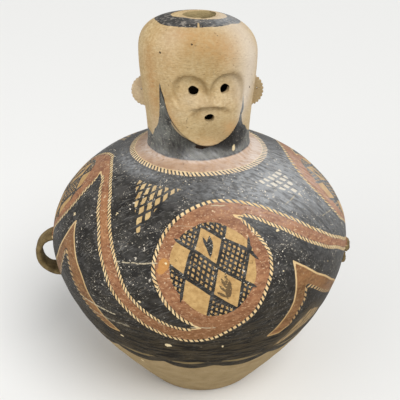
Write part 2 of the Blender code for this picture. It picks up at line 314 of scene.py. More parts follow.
foot = [(0.0, 0.0), (FOOT_RADIUS * 0.5, 0.0), (FOOT_RADIUS - FOOT_EDGE, 0.0)]
mouth = [
    (MOUTH_RADIUS + LIP, HEAD_TOP), (MOUTH_RADIUS + 0.4 * LIP, HEAD_TOP - 0.3 * LIP),
    (MOUTH_RADIUS, HEAD_TOP - LIP), (MOUTH_RADIUS, inside[-1, 1]),
]
floor_line = [(wall_radius(FLOOR) - WALL, FLOOR), (0.0, FLOOR)]
wall_rows = [*foot, *outside, *mouth, *inside[::-1], *floor_line]
print("rows of the wall line:", len(wall_rows), "of which outside:", len(outside))

# %% Extrude the line and spin it round
def pick(thing):
    """Make an object the active one and the only one selected."""
    bpy.ops.object.select_all(action="DESELECT")
    bpy.context.view_layer.objects.active = thing
    thing.select_set(True)


def edit(thing):
    """Open one object in edit mode with nothing selected."""
    pick(thing)
    bpy.ops.object.mode_set(mode="EDIT")
    bpy.ops.mesh.select_all(action="DESELECT")


def close_edit():
    """Make the normals face outward and leave edit mode."""
    bpy.ops.mesh.select_all(action="SELECT")
    bpy.ops.mesh.normals_make_consistent(inside=False)
    bpy.ops.object.mode_set(mode="OBJECT")


def new_piece(name):
    """Name the object that the last primitive made."""
    piece = bpy.context.active_object
    piece.name = name
    piece.data.name = name
    return piece


def coordinates(thing):
    """All points of a mesh as an array."""
    flat = np.empty(len(thing.data.vertices) * 3)
    thing.data.vertices.foreach_get("co", flat)
    return flat.reshape(-1, 3)


def set_coordinates(thing, points):
    """Write all points of a mesh back."""
    thing.data.vertices.foreach_set("co", points.ravel())
    thing.data.update()


bpy.ops.mesh.primitive_plane_add(size=0.01, location=(0.0, 0.0, 0.0))
jar = new_piece("painted_jar")
edit(jar)
bpy.ops.mesh.select_all(action="SELECT")
bpy.ops.mesh.merge(type="CENTER")
for before, after in zip(wall_rows, wall_rows[1:]):
    step = (0.0, -(after[0] - before[0]), after[1] - before[1])
    bpy.ops.mesh.extrude_region_move(TRANSFORM_OT_translate={"value": step})
bpy.ops.mesh.select_all(action="SELECT")
bpy.ops.mesh.spin(steps=COLUMNS, angle=2.0 * math.pi, center=(0.0, 0.0, 0.0), axis=(0.0, 0.0, 1.0))
bpy.ops.mesh.select_all(action="SELECT")
bpy.ops.mesh.remove_doubles(threshold=1e-5)
close_edit()
print("spun wall:", len(jar.data.vertices), "points,", len(jar.data.polygons), "faces")

# %% Press the outer wall into shape by hand
MOUTH_SHIFT = 0.003
MOUTH_REACH = 0.014
MOUTH_RAGGED = 0.0005


def on_line(points):
    """Which points of the turned wall lie on its outer line, within a millimetre."""
    radius, height = np.hypot(points[:, 0], points[:, 1]), points[:, 2]
    by_height = np.interp(height, WALL_LINE[:, 1], WALL_LINE[:, 0])
    by_radius = np.interp(-radius, -WALL_LINE[-300:, 0], WALL_LINE[-300:, 1])
    side = (np.abs(radius - by_height) < 0.001) & (height < WIDEST_LEVEL + 0.02)
    crown = (np.abs(height - by_radius) < 0.001) & (height > WIDEST_LEVEL)
    crown &= radius > MOUTH_RADIUS + LIP
    return (side | crown) & (height > 0.5 * FOOT_EDGE)


points = coordinates(jar)
outer_points = on_line(points)
points[outer_points] = hand_shape(points[outer_points])
# The mouth was cut a little to one side, and its rim is uneven.
rim_turn, rim_radius = np.arctan2(points[:, 0], -points[:, 1]), np.hypot(points[:, 0], points[:, 1])
near_mouth = 1.0 - smooth((rim_radius - MOUTH_RADIUS) / MOUTH_REACH)
near_mouth *= smooth((points[:, 2] - HEAD_TOP + 2.0 * MOUTH_REACH) / MOUTH_REACH)
ragged = np.sin(3.0 * rim_turn + 1.0) + 0.6 * np.sin(7.0 * rim_turn) + 0.4 * np.sin(13.0 * rim_turn)
ragged *= MOUTH_RAGGED
points[:, 0] += near_mouth * (MOUTH_SHIFT + ragged * np.sin(rim_turn))
points[:, 1] -= near_mouth * ragged * np.cos(rim_turn)
set_coordinates(jar, points)
print("points of the outer wall:", int(outer_points.sum()), "of", len(outside) * COLUMNS)

# %% [markdown]
# ## Ears
#
# Each ear is a flap of clay pinched out of the side of the head, an upright oval with a
# nicked rim and a small pierced hole for an ornament. Here a thin disc is stood up in the
# plane of the jar's radius, its rim is rounded with a bevel and nicked with a fingernail.

# %% Two ear flaps
EAR_LEVEL = NECK_BASE + 0.430 * HEAD_HEIGHT
EAR_ANGLE = 88.0
EAR_REACH = {"left": 0.0118, "right": 0.0098}
EAR_LENGTH = 0.032
EAR_THICKNESS = 0.0046
EAR_SIDES = 72
EAR_ROUNDING = 0.0014
EAR_THINNING = 0.35
NICKS = 24
NICK_DEPTH = 0.0016
NICK_START = {"left": 2.4, "right": 1.0}


def ear(side, sign):
    """One ear flap, sunk into the side of the head."""
    root = head_radius(EAR_LEVEL) - 0.5 * WALL
    reach = head_radius(EAR_LEVEL) + EAR_REACH[side] - root
    bpy.ops.mesh.primitive_cylinder_add(vertices=EAR_SIDES, radius=1.0, depth=EAR_THICKNESS)
    flap = new_piece("ear_" + side)
    edit(flap)
    bpy.ops.mesh.select_all(action="SELECT")
    bpy.ops.transform.resize(value=(reach, 0.5 * EAR_LENGTH, 1.0))
    bpy.ops.mesh.select_all(action="DESELECT")
    bpy.ops.mesh.select_mode(type="EDGE")
    mesh = bmesh.from_edit_mesh(flap.data)
    for line in mesh.edges:
        line.select_set(abs(line.verts[0].co.z - line.verts[1].co.z) < 1e-6)
    bmesh.update_edit_mesh(flap.data)
    bpy.ops.mesh.bevel(offset=EAR_ROUNDING, segments=3, affect="EDGES")
    bpy.ops.mesh.select_mode(type="VERT")
    close_edit()
    points = coordinates(flap)
    around = np.arctan2(points[:, 1] / EAR_LENGTH * 2.0, points[:, 0] / reach)
    size = np.hypot(points[:, 1] / EAR_LENGTH * 2.0, points[:, 0] / reach)
    nicks = np.maximum(np.sin(around * NICKS + NICK_START[side]), 0.0) ** 2
    shrink = 1.0 - NICK_DEPTH / reach * nicks * smooth((size - 0.7) / 0.2)
    thin = 1.0 - EAR_THINNING * smooth((points[:, 0] / reach - 0.1) / 0.7)
    out, up, across = root + points[:, 0] * shrink, EAR_LEVEL + points[:, 1] * shrink, points[:, 2] * thin
    turn = math.radians(EAR_ANGLE * sign)
    moved = place(out, np.full(len(out), turn), up)
    set_coordinates(flap, moved + across[:, None] * np.array([math.cos(turn), math.sin(turn), 0.0]))
    edit(flap)
    close_edit()
    return flap


ears = [ear("left", -1.0), ear("right", 1.0)]
print("ears:", [len(flap.data.vertices) for flap in ears])

# %% [markdown]
# ## The handle and the broken one
#
# A strap of clay was bent into a loop and pressed on below the belly on each side. The
# left one is whole. The right one has broken away, and its two roots stand as rough
# stumps. Each is extruded ring by ring along the line that the strap takes.

# %% Strap handle and two stumps
HANDLE_ANGLE = -84.0
HANDLE_DROP = 0.020
HANDLE_REACH = 0.0213
HANDLE_LENGTH = 0.053
HANDLE_SQUARENESS = 2.15
STRAP_WIDTH = 0.020
STRAP_THICKNESS = 0.0070
STRAP_FLARE = 1.3
STUMP_ANGLE = 80.0
STRAP_SIDES = 28
STRAP_ROUNDING = 0.62
HANDLE_STEPS = 30
HANDLE_ROUGHNESS = 0.00010
# Each stump's drop below the belly, reach beyond it and thickness.
UPPER_STUMP = (0.006, 0.0042, 0.0090)
LOWER_STUMP = (0.0225, 0.0016, 0.0050)
# Share of the way out, width and thickness as shares of the root's, and roughness.
STUMP_RINGS = [
    (0.0, 1.30, 1.5, 0.0), (0.45, 1.16, 1.12, 0.0001), (0.70, 1.04, 0.94, 0.0002),
    (0.88, 0.90, 0.80, 0.0003), (0.97, 0.70, 0.58, 0.0004), (1.0, 0.40, 0.30, 0.0005),
]
generator = np.random.default_rng(7)


def strap_ring(middle, along, azimuth, width, thickness, roughness=0.0):
    """Rounded cross-section of a strap around a point (radius, height) of its middle line."""
    around = np.linspace(0.0, 2.0 * math.pi, STRAP_SIDES, endpoint=False)
    side = np.sign(np.cos(around)) * np.abs(np.cos(around)) ** STRAP_ROUNDING * 0.5 * width
    out = np.sign(np.sin(around)) * np.abs(np.sin(around)) ** STRAP_ROUNDING * 0.5 * thickness
    turn = math.radians(azimuth)
    line = np.array(along) / np.hypot(*along)
    radius = middle[0] + line[1] * out
    height = middle[1] - line[0] * out
    ring = place(radius, np.full(STRAP_SIDES, turn), height)
    ring += side[:, None] * np.array([math.cos(turn), math.sin(turn), 0.0])
    return ring + generator.normal(0.0, 1.0, ring.shape) * roughness


def sweep(name, rings):
    """A closed strap: the first ring is filled and extruded to each of the others in turn."""
    bpy.ops.mesh.primitive_circle_add(vertices=STRAP_SIDES, radius=0.01, fill_type="NGON")
    strap = new_piece(name)
    set_coordinates(strap, rings[0])
    edit(strap)
    bpy.ops.mesh.select_all(action="SELECT")
    for ring in rings[1:]:
        bpy.ops.mesh.extrude_region_move()
        mesh = bmesh.from_edit_mesh(strap.data)
        ends = sorted((point for point in mesh.verts if point.select), key=lambda point: point.index)
        for point, ring_point in zip(ends, ring):
            point.co = ring_point
        bmesh.update_edit_mesh(strap.data)
    close_edit()
    return strap


def handle_line(turn):
    """Middle line of the handle as radius and height, from its lower root to its upper one."""
    power = 2.0 / HANDLE_SQUARENESS
    middle = BELLY_HEIGHT - HANDLE_DROP
    root = float(wall_radius(middle)) - 0.5 * WALL
    reach = BELLY_RADIUS + HANDLE_REACH - 0.5 * STRAP_THICKNESS - root
    half = 0.5 * (HANDLE_LENGTH - STRAP_THICKNESS)
    out = root + reach * max(0.0, math.cos(turn)) ** power
    return np.array([out, middle + half * math.copysign(abs(math.sin(turn)) ** power, turn)])


# Only the first and the last ring lie beyond this turn. There the strap runs straight out.
AT_ROOT = 1.57
rings = []
for turn in np.linspace(-0.5 * math.pi, 0.5 * math.pi, HANDLE_STEPS + 1):
    along = handle_line(turn + 0.01) - handle_line(turn - 0.01)
    if abs(turn) > AT_ROOT:
        along = np.array([-math.copysign(1.0, turn), 0.0])
    near_root = float(smooth(abs(turn) / (0.25 * math.pi) - 1.0))
    width = STRAP_WIDTH * (1.0 + (STRAP_FLARE - 1.0) * near_root)
    size = (width, STRAP_THICKNESS)
    rings.append(strap_ring(handle_line(turn), along, HANDLE_ANGLE, *size, HANDLE_ROUGHNESS))
handle = sweep("handle", rings)


def stump(name, drop, reach, thickness):
    """Broken root of a strap: it narrows outwards to a rough end."""
    height = BELLY_HEIGHT - drop
    root = np.array([float(wall_radius(height)) - 0.5 * WALL, height])
    tip = np.array([BELLY_RADIUS + reach, height - 0.2 * thickness])
    rings = []
    for share, wide, thick, roughness in STUMP_RINGS:
        size = (STRAP_WIDTH * wide, thickness * thick)
        rings.append(strap_ring(root + (tip - root) * share, (1.0, 0.0), STUMP_ANGLE, *size, roughness))
    return sweep(name, rings)


stumps = [stump("stump_upper", *UPPER_STUMP), stump("stump_lower", *LOWER_STUMP)]
print("handle:", len(handle.data.vertices), "points; stumps:", [len(s.data.vertices) for s in stumps])

# %% Join the pieces and pierce the eyes, the mouth and the ears
DRILL_SIDES = 40
# Width, height and length of each drill, and how far from the axis its middle stands.
EYE_HOLE = (0.0100, 0.0098, 0.050)
MOUTH_HOLE = (0.0098, 0.0078, 0.060)
EAR_HOLE = (0.0016, 0.0016, 0.012)
EYE_RADIUS = 0.056
MOUTH_HOLE_RADIUS = 0.060
EAR_HOLE_REACH = {"left": 0.0012, "right": 0.0030}
EAR_HOLE_RISE = 0.002


def combine(target, shape, operation):
    """Join or cut the target with a shape, then take the shape away."""
    pick(target)
    step = target.modifiers.new(shape.name, "BOOLEAN")
    step.object = shape
    step.operation = operation
    # Blender's default solver, EXACT, leaves an empty mesh when it makes these joins and cuts.
    step.solver = "MANIFOLD"
    bpy.ops.object.modifier_apply(modifier=step.name)
    bpy.data.objects.remove(shape)


def drop_slivers(piece):
    """Take away the pairs of faces on the same points that a join can leave, and count them."""
    work = bmesh.new()
    work.from_mesh(piece.data)
    seen = {}
    doubled = []
    for face in work.faces:
        corners = frozenset(point.index for point in face.verts)
        if corners in seen:
            doubled += [seen[corners], face]
        seen[corners] = face
    bmesh.ops.delete(work, geom=doubled, context="FACES")
    work.to_mesh(piece.data)
    work.free()
    return len(doubled)


def piercing(name, azimuth, radius, height, size, turn):
    """Slightly uneven oval drill through the wall."""
    bpy.ops.mesh.primitive_cylinder_add(vertices=DRILL_SIDES, radius=0.5, depth=1.0)
    drill = new_piece(name)
    edit(drill)
    bpy.ops.mesh.select_all(action="SELECT")
    bpy.ops.transform.resize(value=size)
    close_edit()
    points = coordinates(drill)
    around = np.arctan2(points[:, 1], points[:, 0])
    uneven = 1.0 + 0.035 * np.sin(around * 3.0 + azimuth) + 0.02 * np.sin(around * 5.0)
    points[:, :2] *= uneven[:, None]
    stand = Matrix.Rotation(math.radians(90.0), 4, "X")
    spin = Matrix.Rotation(math.radians(turn), 4, "Z")
    where = place(np.array([radius]), np.radians([azimuth]), np.array([height]))[0]
    full = np.array(Matrix.Translation(where) @ spin @ stand)
    set_coordinates(drill, points @ full[:3, :3].T + full[:3, 3])
    return drill


for shape in [handle, *stumps, *ears]:
    combine(jar, shape, "UNION")
eye_height = NECK_BASE + EYE_LEVEL * HEAD_HEIGHT
mouth_height = NECK_BASE + MOUTH_LEVEL * HEAD_HEIGHT
drills = []
for side, sign in (("left", -1.0), ("right", 1.0)):
    azimuth = FACE_TURN + HOLE_TURN + sign * EYE_ANGLE
    drills.append(piercing("eye_" + side, azimuth, EYE_RADIUS, eye_height, EYE_HOLE, azimuth))
    out = float(head_radius(EAR_LEVEL)) + EAR_HOLE_REACH[side]
    level = EAR_LEVEL + EAR_HOLE_RISE
    drills.append(piercing("ear_hole_" + side, sign * EAR_ANGLE, out, level, EAR_HOLE, 0.0))
mouth_turn = FACE_TURN + HOLE_TURN
drills.append(piercing("mouth", mouth_turn, MOUTH_HOLE_RADIUS, mouth_height, MOUTH_HOLE, FACE_TURN))
for drill in drills:
    combine(jar, drill, "DIFFERENCE")
slivers = drop_slivers(jar)
mesh = jar.data
mesh.calc_loop_triangles()
check = bmesh.new()
check.from_mesh(mesh)
open_edges = sum(1 for line in check.edges if not line.is_manifold)
volume = check.calc_volume()
check.free()
print("jar:", len(mesh.vertices), "points,", len(mesh.loop_triangles), "triangles,", open_edges, "open edges")
print("doubled faces taken away:", slivers)
print("clay:", round(volume * 1e6), "cubic centimetres")

# %% [markdown]
# ## Reading the wall as a sheet
#
# The painter worked round the jar, so the ornament is laid out on the unrolled wall: degrees
# round the jar from the front, and millimetres up the wall from the ground. Every point of
# the mesh gets its own place on that sheet. The design is then a few drawn lines, and
# each point stores how far it is from them. The paint shader turns those distances into
# crisp brush edges, finer than the mesh.

# %% Place of every point on the unrolled wall
MM = 1000.0
sheet_heights = np.linspace(0.0, HEAD_TOP, 4000)
body_heights = np.clip(sheet_heights, BELLY_HEIGHT, NECK_BASE)
over_belly = BELLY_RADIUS * np.sqrt(1.0 - ((body_heights - BELLY_HEIGHT) / SHOULDER_RISE) ** 2)
dome_share = np.clip((sheet_heights - WIDEST_LEVEL) / DOME, 0.0, 1.0)
dome_level = (1.0 - dome_share ** CROWN_SQUARENESS) ** (1.0 / CROWN_SQUARENESS)
over_neck = head_radius(sheet_heights) * dome_level
sheet_radii = np.where(sheet_heights < BELLY_HEIGHT, wall_radius(sheet_heights), over_belly)
sheet_radii = np.where(sheet_heights > NECK_BASE, over_neck, sheet_radii)
sheet_steps = np.hypot(np.diff(sheet_heights), np.diff(sheet_radii))
sheet_ways = np.concatenate([[0.0], np.cumsum(sheet_steps)]) * MM

points = coordinates(jar)
azimuth = np.degrees(np.arctan2(points[:, 0] - foot_lean(points[:, 2]), -points[:, 1]))
rise = shoulder_rise(points[:, 2])
droop = shoulder_droop(points[:, 2], points[:, 0])
level = points[:, 2] + np.where((rise > 0.0) & (rise < 1.0), droop, 0.0)
way = np.interp(level, sheet_heights, sheet_ways)
in_dome = points[:, 2] > WIDEST_LEVEL
line_turn = np.arctan2((sheet_heights - WIDEST_LEVEL) / DOME, np.maximum(sheet_radii, 1e-6) / HEAD_RADIUS)
own_radius = np.hypot(points[:, 0], points[:, 1])
own_turn = np.arctan2((points[:, 2] - WIDEST_LEVEL) / DOME, np.maximum(own_radius, 1e-6) / HEAD_RADIUS)
way = np.where(in_dome, np.interp(own_turn, line_turn, sheet_ways), way)
radius_mm = np.interp(way, sheet_ways, sheet_radii) * MM
print("way up the wall from", round(way.min()), "to", round(way.max()), "mm")

# %% Helpers that measure from drawn lines
SECTOR = 30
SECTOR_MARGIN = 35
FAR = 90.0


def curve(points_of, fine=4):
    """A smooth line through given points of degrees and millimetres."""
    corner = np.array(points_of, float)
    ends = np.vstack([2 * corner[0] - corner[1], corner, 2 * corner[-1] - corner[-2]])
    share = np.linspace(0.0, 1.0, fine, endpoint=False)[:, None]
    line = []
    for a, b, c, d in zip(ends, ends[1:], ends[2:], ends[3:]):
        bend = (2 * a - 5 * b + 4 * c - d) * share ** 2 + (3 * b - a - 3 * c + d) * share ** 3
        line.append(b + 0.5 * ((c - a) * share + bend))
    return np.vstack([*line, corner[-1:]])


def shifted(line, turn, rise):
    """The same line elsewhere on the sheet."""
    return np.array(line, float) + np.array([turn, rise])


def fitted(line, first, last):
    """The same line stretched round and sheared up so that it runs between two given points."""
    line = np.array(line, float)
    share = (line[:, 0] - line[0, 0]) / (line[-1, 0] - line[0, 0])
    turned = first[0] + (last[0] - first[0]) * share
    lift = (first[1] - line[0, 1]) * (1.0 - share) + (last[1] - line[-1, 1]) * share
    return np.column_stack([turned, line[:, 1] + lift])


def step_lengths(line):
    """Lengths in mm of the steps between the points of a line on the sheet."""
    middle_way = 0.5 * (line[1:, 1] + line[:-1, 1])
    scale = np.radians(1.0) * np.interp(middle_way, sheet_ways, sheet_radii) * MM
    return np.hypot(np.diff(line[:, 0]) * scale, np.diff(line[:, 1]))


def sideways(turn):
    """How far every point lies to the right of a direction, in mm round the wall."""
    return ((azimuth - turn + 180.0) % 360.0 - 180.0) * np.radians(1.0) * radius_mm


def measure(line, low, high, closed=False, wrap=True):
    """Distance to a line and along it in mm, odd crossings above, and the line's direction."""
    line = np.array(line, float)
    if closed:
        line = np.vstack([line, line[:1]])
    lengths = step_lengths(line)
    so_far = np.concatenate([[0.0], np.cumsum(lengths)])[:-1]
    copies = [line + np.array([turn, 0.0]) for turn in ((-360.0, 0.0, 360.0) if wrap else (0.0,))]
    start = np.vstack([copy[:-1] for copy in copies])
    end = np.vstack([copy[1:] for copy in copies])
    so_far, lengths = np.tile(so_far, len(copies)), np.tile(lengths, len(copies))
    distance, u, along = np.full(len(way), FAR), np.zeros(len(way)), np.zeros((len(way), 2))
    odd = np.zeros(len(way), bool)
    for sector in range(-180, 181, SECTOR):
        in_sector = (azimuth >= sector) & (azimuth < sector + SECTOR)
        mine = np.flatnonzero(in_sector & (way > low) & (way < high))
        near = np.maximum(start[:, 0], end[:, 0]) > sector - SECTOR_MARGIN
        near &= np.minimum(start[:, 0], end[:, 0]) < sector + SECTOR + SECTOR_MARGIN
        if not len(mine) or not near.any():
            continue
        a, b, run = start[near], end[near], so_far[near]
        metric = (np.radians(1.0) * radius_mm[mine])[:, None]
        ax, ay = (a[:, 0] - azimuth[mine, None]) * metric, a[:, 1] - way[mine, None]
        bx, by = (b[:, 0] - azimuth[mine, None]) * metric, b[:, 1] - way[mine, None]
        dx, dy = bx - ax, by - ay
        share = np.clip(-(ax * dx + ay * dy) / np.maximum(dx * dx + dy * dy, 1e-9), 0.0, 1.0)
        away = np.hypot(ax + share * dx, ay + share * dy)
        nearest = away.argmin(axis=1)
        rows = np.arange(len(mine))
        distance[mine] = away[rows, nearest]
        u[mine] = run[nearest] + share[rows, nearest] * lengths[near][nearest]
        along[mine] = np.column_stack([dx[rows, nearest], dy[rows, nearest]])
        spans = (ax > 0.0) != (bx > 0.0)
        cross = ay - ax * dy / np.where(np.abs(dx) < 1e-9, 1e-9, dx)
        odd[mine] = (spans & (cross > 0.0)).sum(axis=1) % 2 == 1
    return distance, u, odd, along / np.maximum(np.hypot(*along.T), 1e-9)[:, None]


def signed(line, low, high, **options):
    """Distance from a closed outline in mm, positive inside."""
    distance, _, odd, _ = measure(line, low, high, **options)
    return np.where(odd, distance, -distance)


def store(name, *columns):
    """Keep a number, or three numbers, for every point of the jar."""
    kind = "FLOAT" if len(columns) == 1 else "FLOAT_VECTOR"
    layer = jar.data.attributes.new(name, kind, "POINT")
    values = np.column_stack(columns).astype(np.float32)
    layer.data.foreach_set("value" if kind == "FLOAT" else "vector", values.ravel())


store("way", way)

# %% [markdown]
# ## The running whorl
#
# A red-brown band runs round the jar. It falls from the top of one ring to the foot of the
# next, circles that ring, and falls again. Four rings are set round the jar, about ninety
# degrees apart. Its upper and lower edges were measured on the photograph for the front and
# the two sides that show. The ring at the back repeats them.

# %% Upper and lower edge of the red-brown band
fall = [
    (-82, 332), (-75, 330), (-70, 328), (-65, 324.5), (-60, 320), (-55, 314), (-50, 307), (-45, 296),
    (-40, 283), (-35, 266), (-30, 248), (-25, 227), (-20, 213), (-15, 203), (-10, 195.5), (-6, 192.5),
    (-3, 192), (0, 193),
]
climb = [
    (0, 193), (-4, 198), (-7, 204), (-10, 213), (-12.5, 222), (-15, 235), (-16.5, 245), (-17, 258),
    (-16, 275), (-14, 290), (-10, 303), (-4, 313), (3, 319), (9, 321),
]
fall_right = [
    (9, 321), (15, 320), (22, 317), (30, 310), (35, 303), (40, 293), (45, 282.5), (50, 269), (55, 257),
    (60, 245), (65, 236), (70, 226), (75, 218), (80, 212), (85, 208.5), (90, 208.5), (95, 212),
]
climb_right = [
    (95, 212), (89, 213.5), (84, 219), (80, 226.5), (77, 235), (73, 245), (71.5, 255), (70, 270),
    (69.5, 285), (70, 295), (72, 308), (76, 316), (80, 322), (88, 327), (95, 328), (99, 328),
]
climb_back = [*shifted(climb[:-1], -185, 10), (-176, 330)]
climb_left = [*shifted(climb[:-1], -89, 13), (-82, 332)]
upper_edge = [
    climb_back, fitted(fall, climb_back[-1], climb_left[0]), climb_left,
    fall, climb, fall_right, climb_right,
    fitted(fall, climb_right[-1], climb_back[0] + np.array([360.0, 0.0])),
]

under = [
    (-73, 314), (-65, 310), (-60, 302), (-55, 295), (-50, 284), (-45, 272), (-40, 254), (-35, 235),
    (-30, 216), (-25, 203), (-20, 190), (-15, 182), (-10, 176), (-5, 172.5), (0, 173), (5, 177), (10, 186),
    (15, 196), (19, 207), (22, 222), (25, 238), (26.5, 250), (27, 262), (25.5, 275), (23, 287), (20, 297),
    (16, 302),
]
under_right = [
    (16, 302), (22, 298.5), (27, 293), (32, 284), (36, 277), (40, 267), (45, 255), (50, 245), (55, 235),
    (60, 228), (65, 218), (70, 209), (75, 202), (80, 197.5), (85, 196), (90, 198), (95, 203), (100, 212),
    (104, 224), (107, 240), (109.5, 254), (110.5, 267), (110, 282), (108, 295), (105, 304), (101, 309),
]
under_left = [
    (-172, 308), (-164, 304), (-159, 297), (-154, 290), (-149, 280), (-144, 268), (-139, 251), (-134, 233),
    (-129, 216), (-124, 205), (-119, 195), (-114, 190), (-109, 187), (-104, 186), (-99, 187), (-94, 187),
    (-89, 191), (-84, 200), (-79, 212), (-76, 226), (-73, 238), (-70, 250), (-68, 262), (-67, 275),
    (-67.5, 292), (-69, 305), (-73, 314),
]
lower_edge = [under_left, under, under_right, fitted(under, under_right[-1], (188, 308))]

BAND_LOW, BAND_HIGH = 100.0, 352.0
STROKE_TURN = 117.0
STEEPEST_LEAN = 1.3
STROKE_PITCH = 5.0


def store_edge(name, parts, pitches, inward, cusps):
    """Store the strokes counted along an edge of the band, the depth inside it and its cusps."""
    parts = [curve(part) for part in parts]
    line = np.vstack([part[:-1] for part in parts] + [parts[-1][-1:]])
    distance, u, odd, along = measure(line, BAND_LOW, BAND_HIGH)
    depth = np.where(odd == (inward < 0), distance, -distance)
    lengths = np.array([step_lengths(part).sum() for part in parts])
    ends = np.concatenate([[0.0], np.cumsum(lengths)])
    counts = np.concatenate([[0.0], np.cumsum(lengths / np.array(pitches))])
    # Every stroke was made with the same turn of the hand, whichever way the edge runs there.
    stroke = np.array([math.cos(math.radians(STROKE_TURN)), math.sin(math.radians(STROKE_TURN))])
    with_edge = along @ stroke
    across_edge = inward * (along[:, 0] * stroke[1] - along[:, 1] * stroke[0])
    across_edge = np.copysign(np.maximum(np.abs(across_edge), 1e-3), across_edge)
    lean = np.clip(-with_edge / across_edge, -STEEPEST_LEAN, STEEPEST_LEAN)
    phase = np.interp(u, ends, counts) + lean * depth / STROKE_PITCH
    to_cusp = np.full(len(way), FAR)
    for turn, rise in cusps:
        to_cusp = np.minimum(to_cusp, np.hypot(sideways(turn), way - rise))
    store(name, phase, depth, to_cusp)


upper_cusps = [part[0] for part in (climb_back, climb_left, climb, climb_right)]
lower_cusps = [part[-1] for part in lower_edge]
store_edge("upper_edge", upper_edge, [5.5, 4.6, 5.5, 4.2, 5.5, 6.6, 5.5, 4.6], -1.0, upper_cusps)
store_edge("lower_edge", lower_edge, [5.0, 5.0, 4.6, 5.0], 1.0, lower_cusps)
print("painted band: turning points", len(upper_cusps), "above and", len(lower_cusps), "below")

# %% [markdown]
# ## Medallions
#
# Inside each ring is a disc cut up by three steep and three falling black lines. Its cells
# are in turn plain cream and black net, like a chequerboard, and two of the plain cells
# carry a small leaf. Each point stores its distance from all six lines. Whether a cell is
# plain or net is then the sign of their product.

# %% Discs, their lines and their cells
# Middle of the front disc in degrees and mm up the wall, and the wall's radius there in mm.
DISC_TURN = 5.0
DISC_RISE = 252.0
DISC_RADIUS = 150.0
LINE_REACH = 60.0
RINGS = [(0.0, 0.0), (-94.0, 11.0), (87.5, 10.0), (175.0, 9.0), (-185.0, 9.0)]
disc_outline = [
    (-0.1, 295.5), (3, 297), (7, 297), (11.7, 292), (16.5, 284), (19.3, 275), (20.2, 265), (20, 256),
    (19.4, 243.5), (17.5, 232), (15.1, 223), (12.3, 214.5), (9, 209.5), (4.8, 207.5), (1.5, 209),
    (-3.2, 218.5), (-6.6, 229), (-9.3, 240), (-10.6, 255), (-10.4, 269), (-8.7, 279), (-5.5, 288),
]
steep_lines = [
    [(-7.2, 210), (-6.2, 224.5), (-5.3, 243.3), (-3.5, 265), (-1.7, 276), (-0.1, 292.4), (0.6, 302)],
    [(1.9, 198), (2.6, 209), (4.3, 234), (6.0, 254), (9.2, 279), (10.8, 290.5), (12, 302)],
    [(11.2, 200), (12.7, 217), (14.5, 239), (16.9, 257), (19.4, 275), (21, 288)],
]
falling_lines = [
    [(-6, 301), (0.3, 294), (4.4, 288.5), (8.9, 281.2), (13.5, 275), (18.2, 267.7), (22.5, 254.4),
     (26, 243)],
    [(-14, 286), (-8.4, 278.4), (-1.7, 269.8), (2.4, 262.5), (6.4, 254.8), (12, 245), (18.5, 233.3),
     (22, 226)],
    [(-15, 263), (-10.3, 255), (-5, 246.1), (-0.6, 238.5), (3.9, 229.5), (7.8, 222), (11.7, 214),
     (15, 207)],
]
ring_turn, ring_rise = np.zeros(len(way)), np.zeros(len(way))
nearest_ring = np.full(len(way), 1e9)
for turn, rise in RINGS:
    away = np.abs(azimuth - DISC_TURN - turn)
    ring_turn = np.where(away < nearest_ring, turn, ring_turn)
    ring_rise = np.where(away < nearest_ring, rise, ring_rise)
    nearest_ring = np.minimum(away, nearest_ring)
sheet_azimuth, sheet_way = azimuth, way
azimuth, way = azimuth - ring_turn, way - ring_rise
disc_d = signed(curve(disc_outline + disc_outline[:1]), 180.0, 320.0, wrap=False)
store("disc", (azimuth - DISC_TURN) * np.radians(1.0) * radius_mm, way - DISC_RISE, disc_d)


def right_of(line):
    """Signed distance from a steep line, positive on its right."""
    line = curve(line)
    at_height = np.interp(way, line[:, 1], line[:, 0])
    slope = np.gradient(line[:, 0], line[:, 1]) * np.radians(1.0) * DISC_RADIUS
    tilt = np.interp(way, line[:, 1], slope)
    return (azimuth - at_height) * np.radians(1.0) * radius_mm / np.hypot(1.0, tilt)


def above(line):
    """Signed distance from a falling line, positive above it."""
    line = curve(line)
    at_turn = np.interp(azimuth, line[:, 0], line[:, 1])
    slope = np.gradient(line[:, 1], line[:, 0]) / (np.radians(1.0) * DISC_RADIUS)
    tilt = np.interp(azimuth, line[:, 0], slope)
    return (way - at_turn) / np.hypot(1.0, tilt)


store("steep", *[np.clip(right_of(line), -LINE_REACH, LINE_REACH) for line in steep_lines])
store("falling", *[np.clip(above(line), -LINE_REACH, LINE_REACH) for line in falling_lines])
azimuth, way = sheet_azimuth, sheet_way
print("disc: largest depth inside", round(float(disc_d.max()), 1), "mm")

# %% [markdown]
# ## Forks, nets and the lower border
#
# Between the rings a two-legged fork reaches up from the lower border, and above it a
# triangle of net hangs from the shoulder. Below the widest level the black field ends in
# hanging scallops, each with a cream crescent in it. The clay below them is bare.

# %% Forks, net triangles, scallops and crescents
fork_left = [
    (-58.5, 266.5), (-55, 254), (-50, 237), (-45, 222), (-40, 200), (-35, 182), (-29.5, 166), (-35, 167),
    (-40, 176), (-46, 191), (-50, 205), (-53, 218), (-56.5, 232), (-58, 220), (-60, 205), (-64, 192),
    (-70, 181), (-73, 178), (-71, 187), (-67, 207), (-64.5, 217), (-62, 233), (-60, 250),
]
fork_right = [
    (34.7, 247.5), (40, 235), (45, 222), (50, 212), (55, 200), (60, 190), (66, 176), (60, 172), (55, 181),
    (50, 190), (46, 199), (43, 206), (39.5, 213), (39, 200), (37.5, 190), (36, 180), (34, 170), (30, 162),
    (24, 163), (27, 173), (30, 185), (31.8, 195), (33.2, 205), (34, 222), (34.5, 235),
]
crotch_left = [
    (-29.5, 166), (-35, 167), (-40, 176), (-46, 191), (-50, 205), (-53, 218), (-56.5, 232), (-58, 220),
    (-60, 205), (-64, 192), (-70, 181),
]
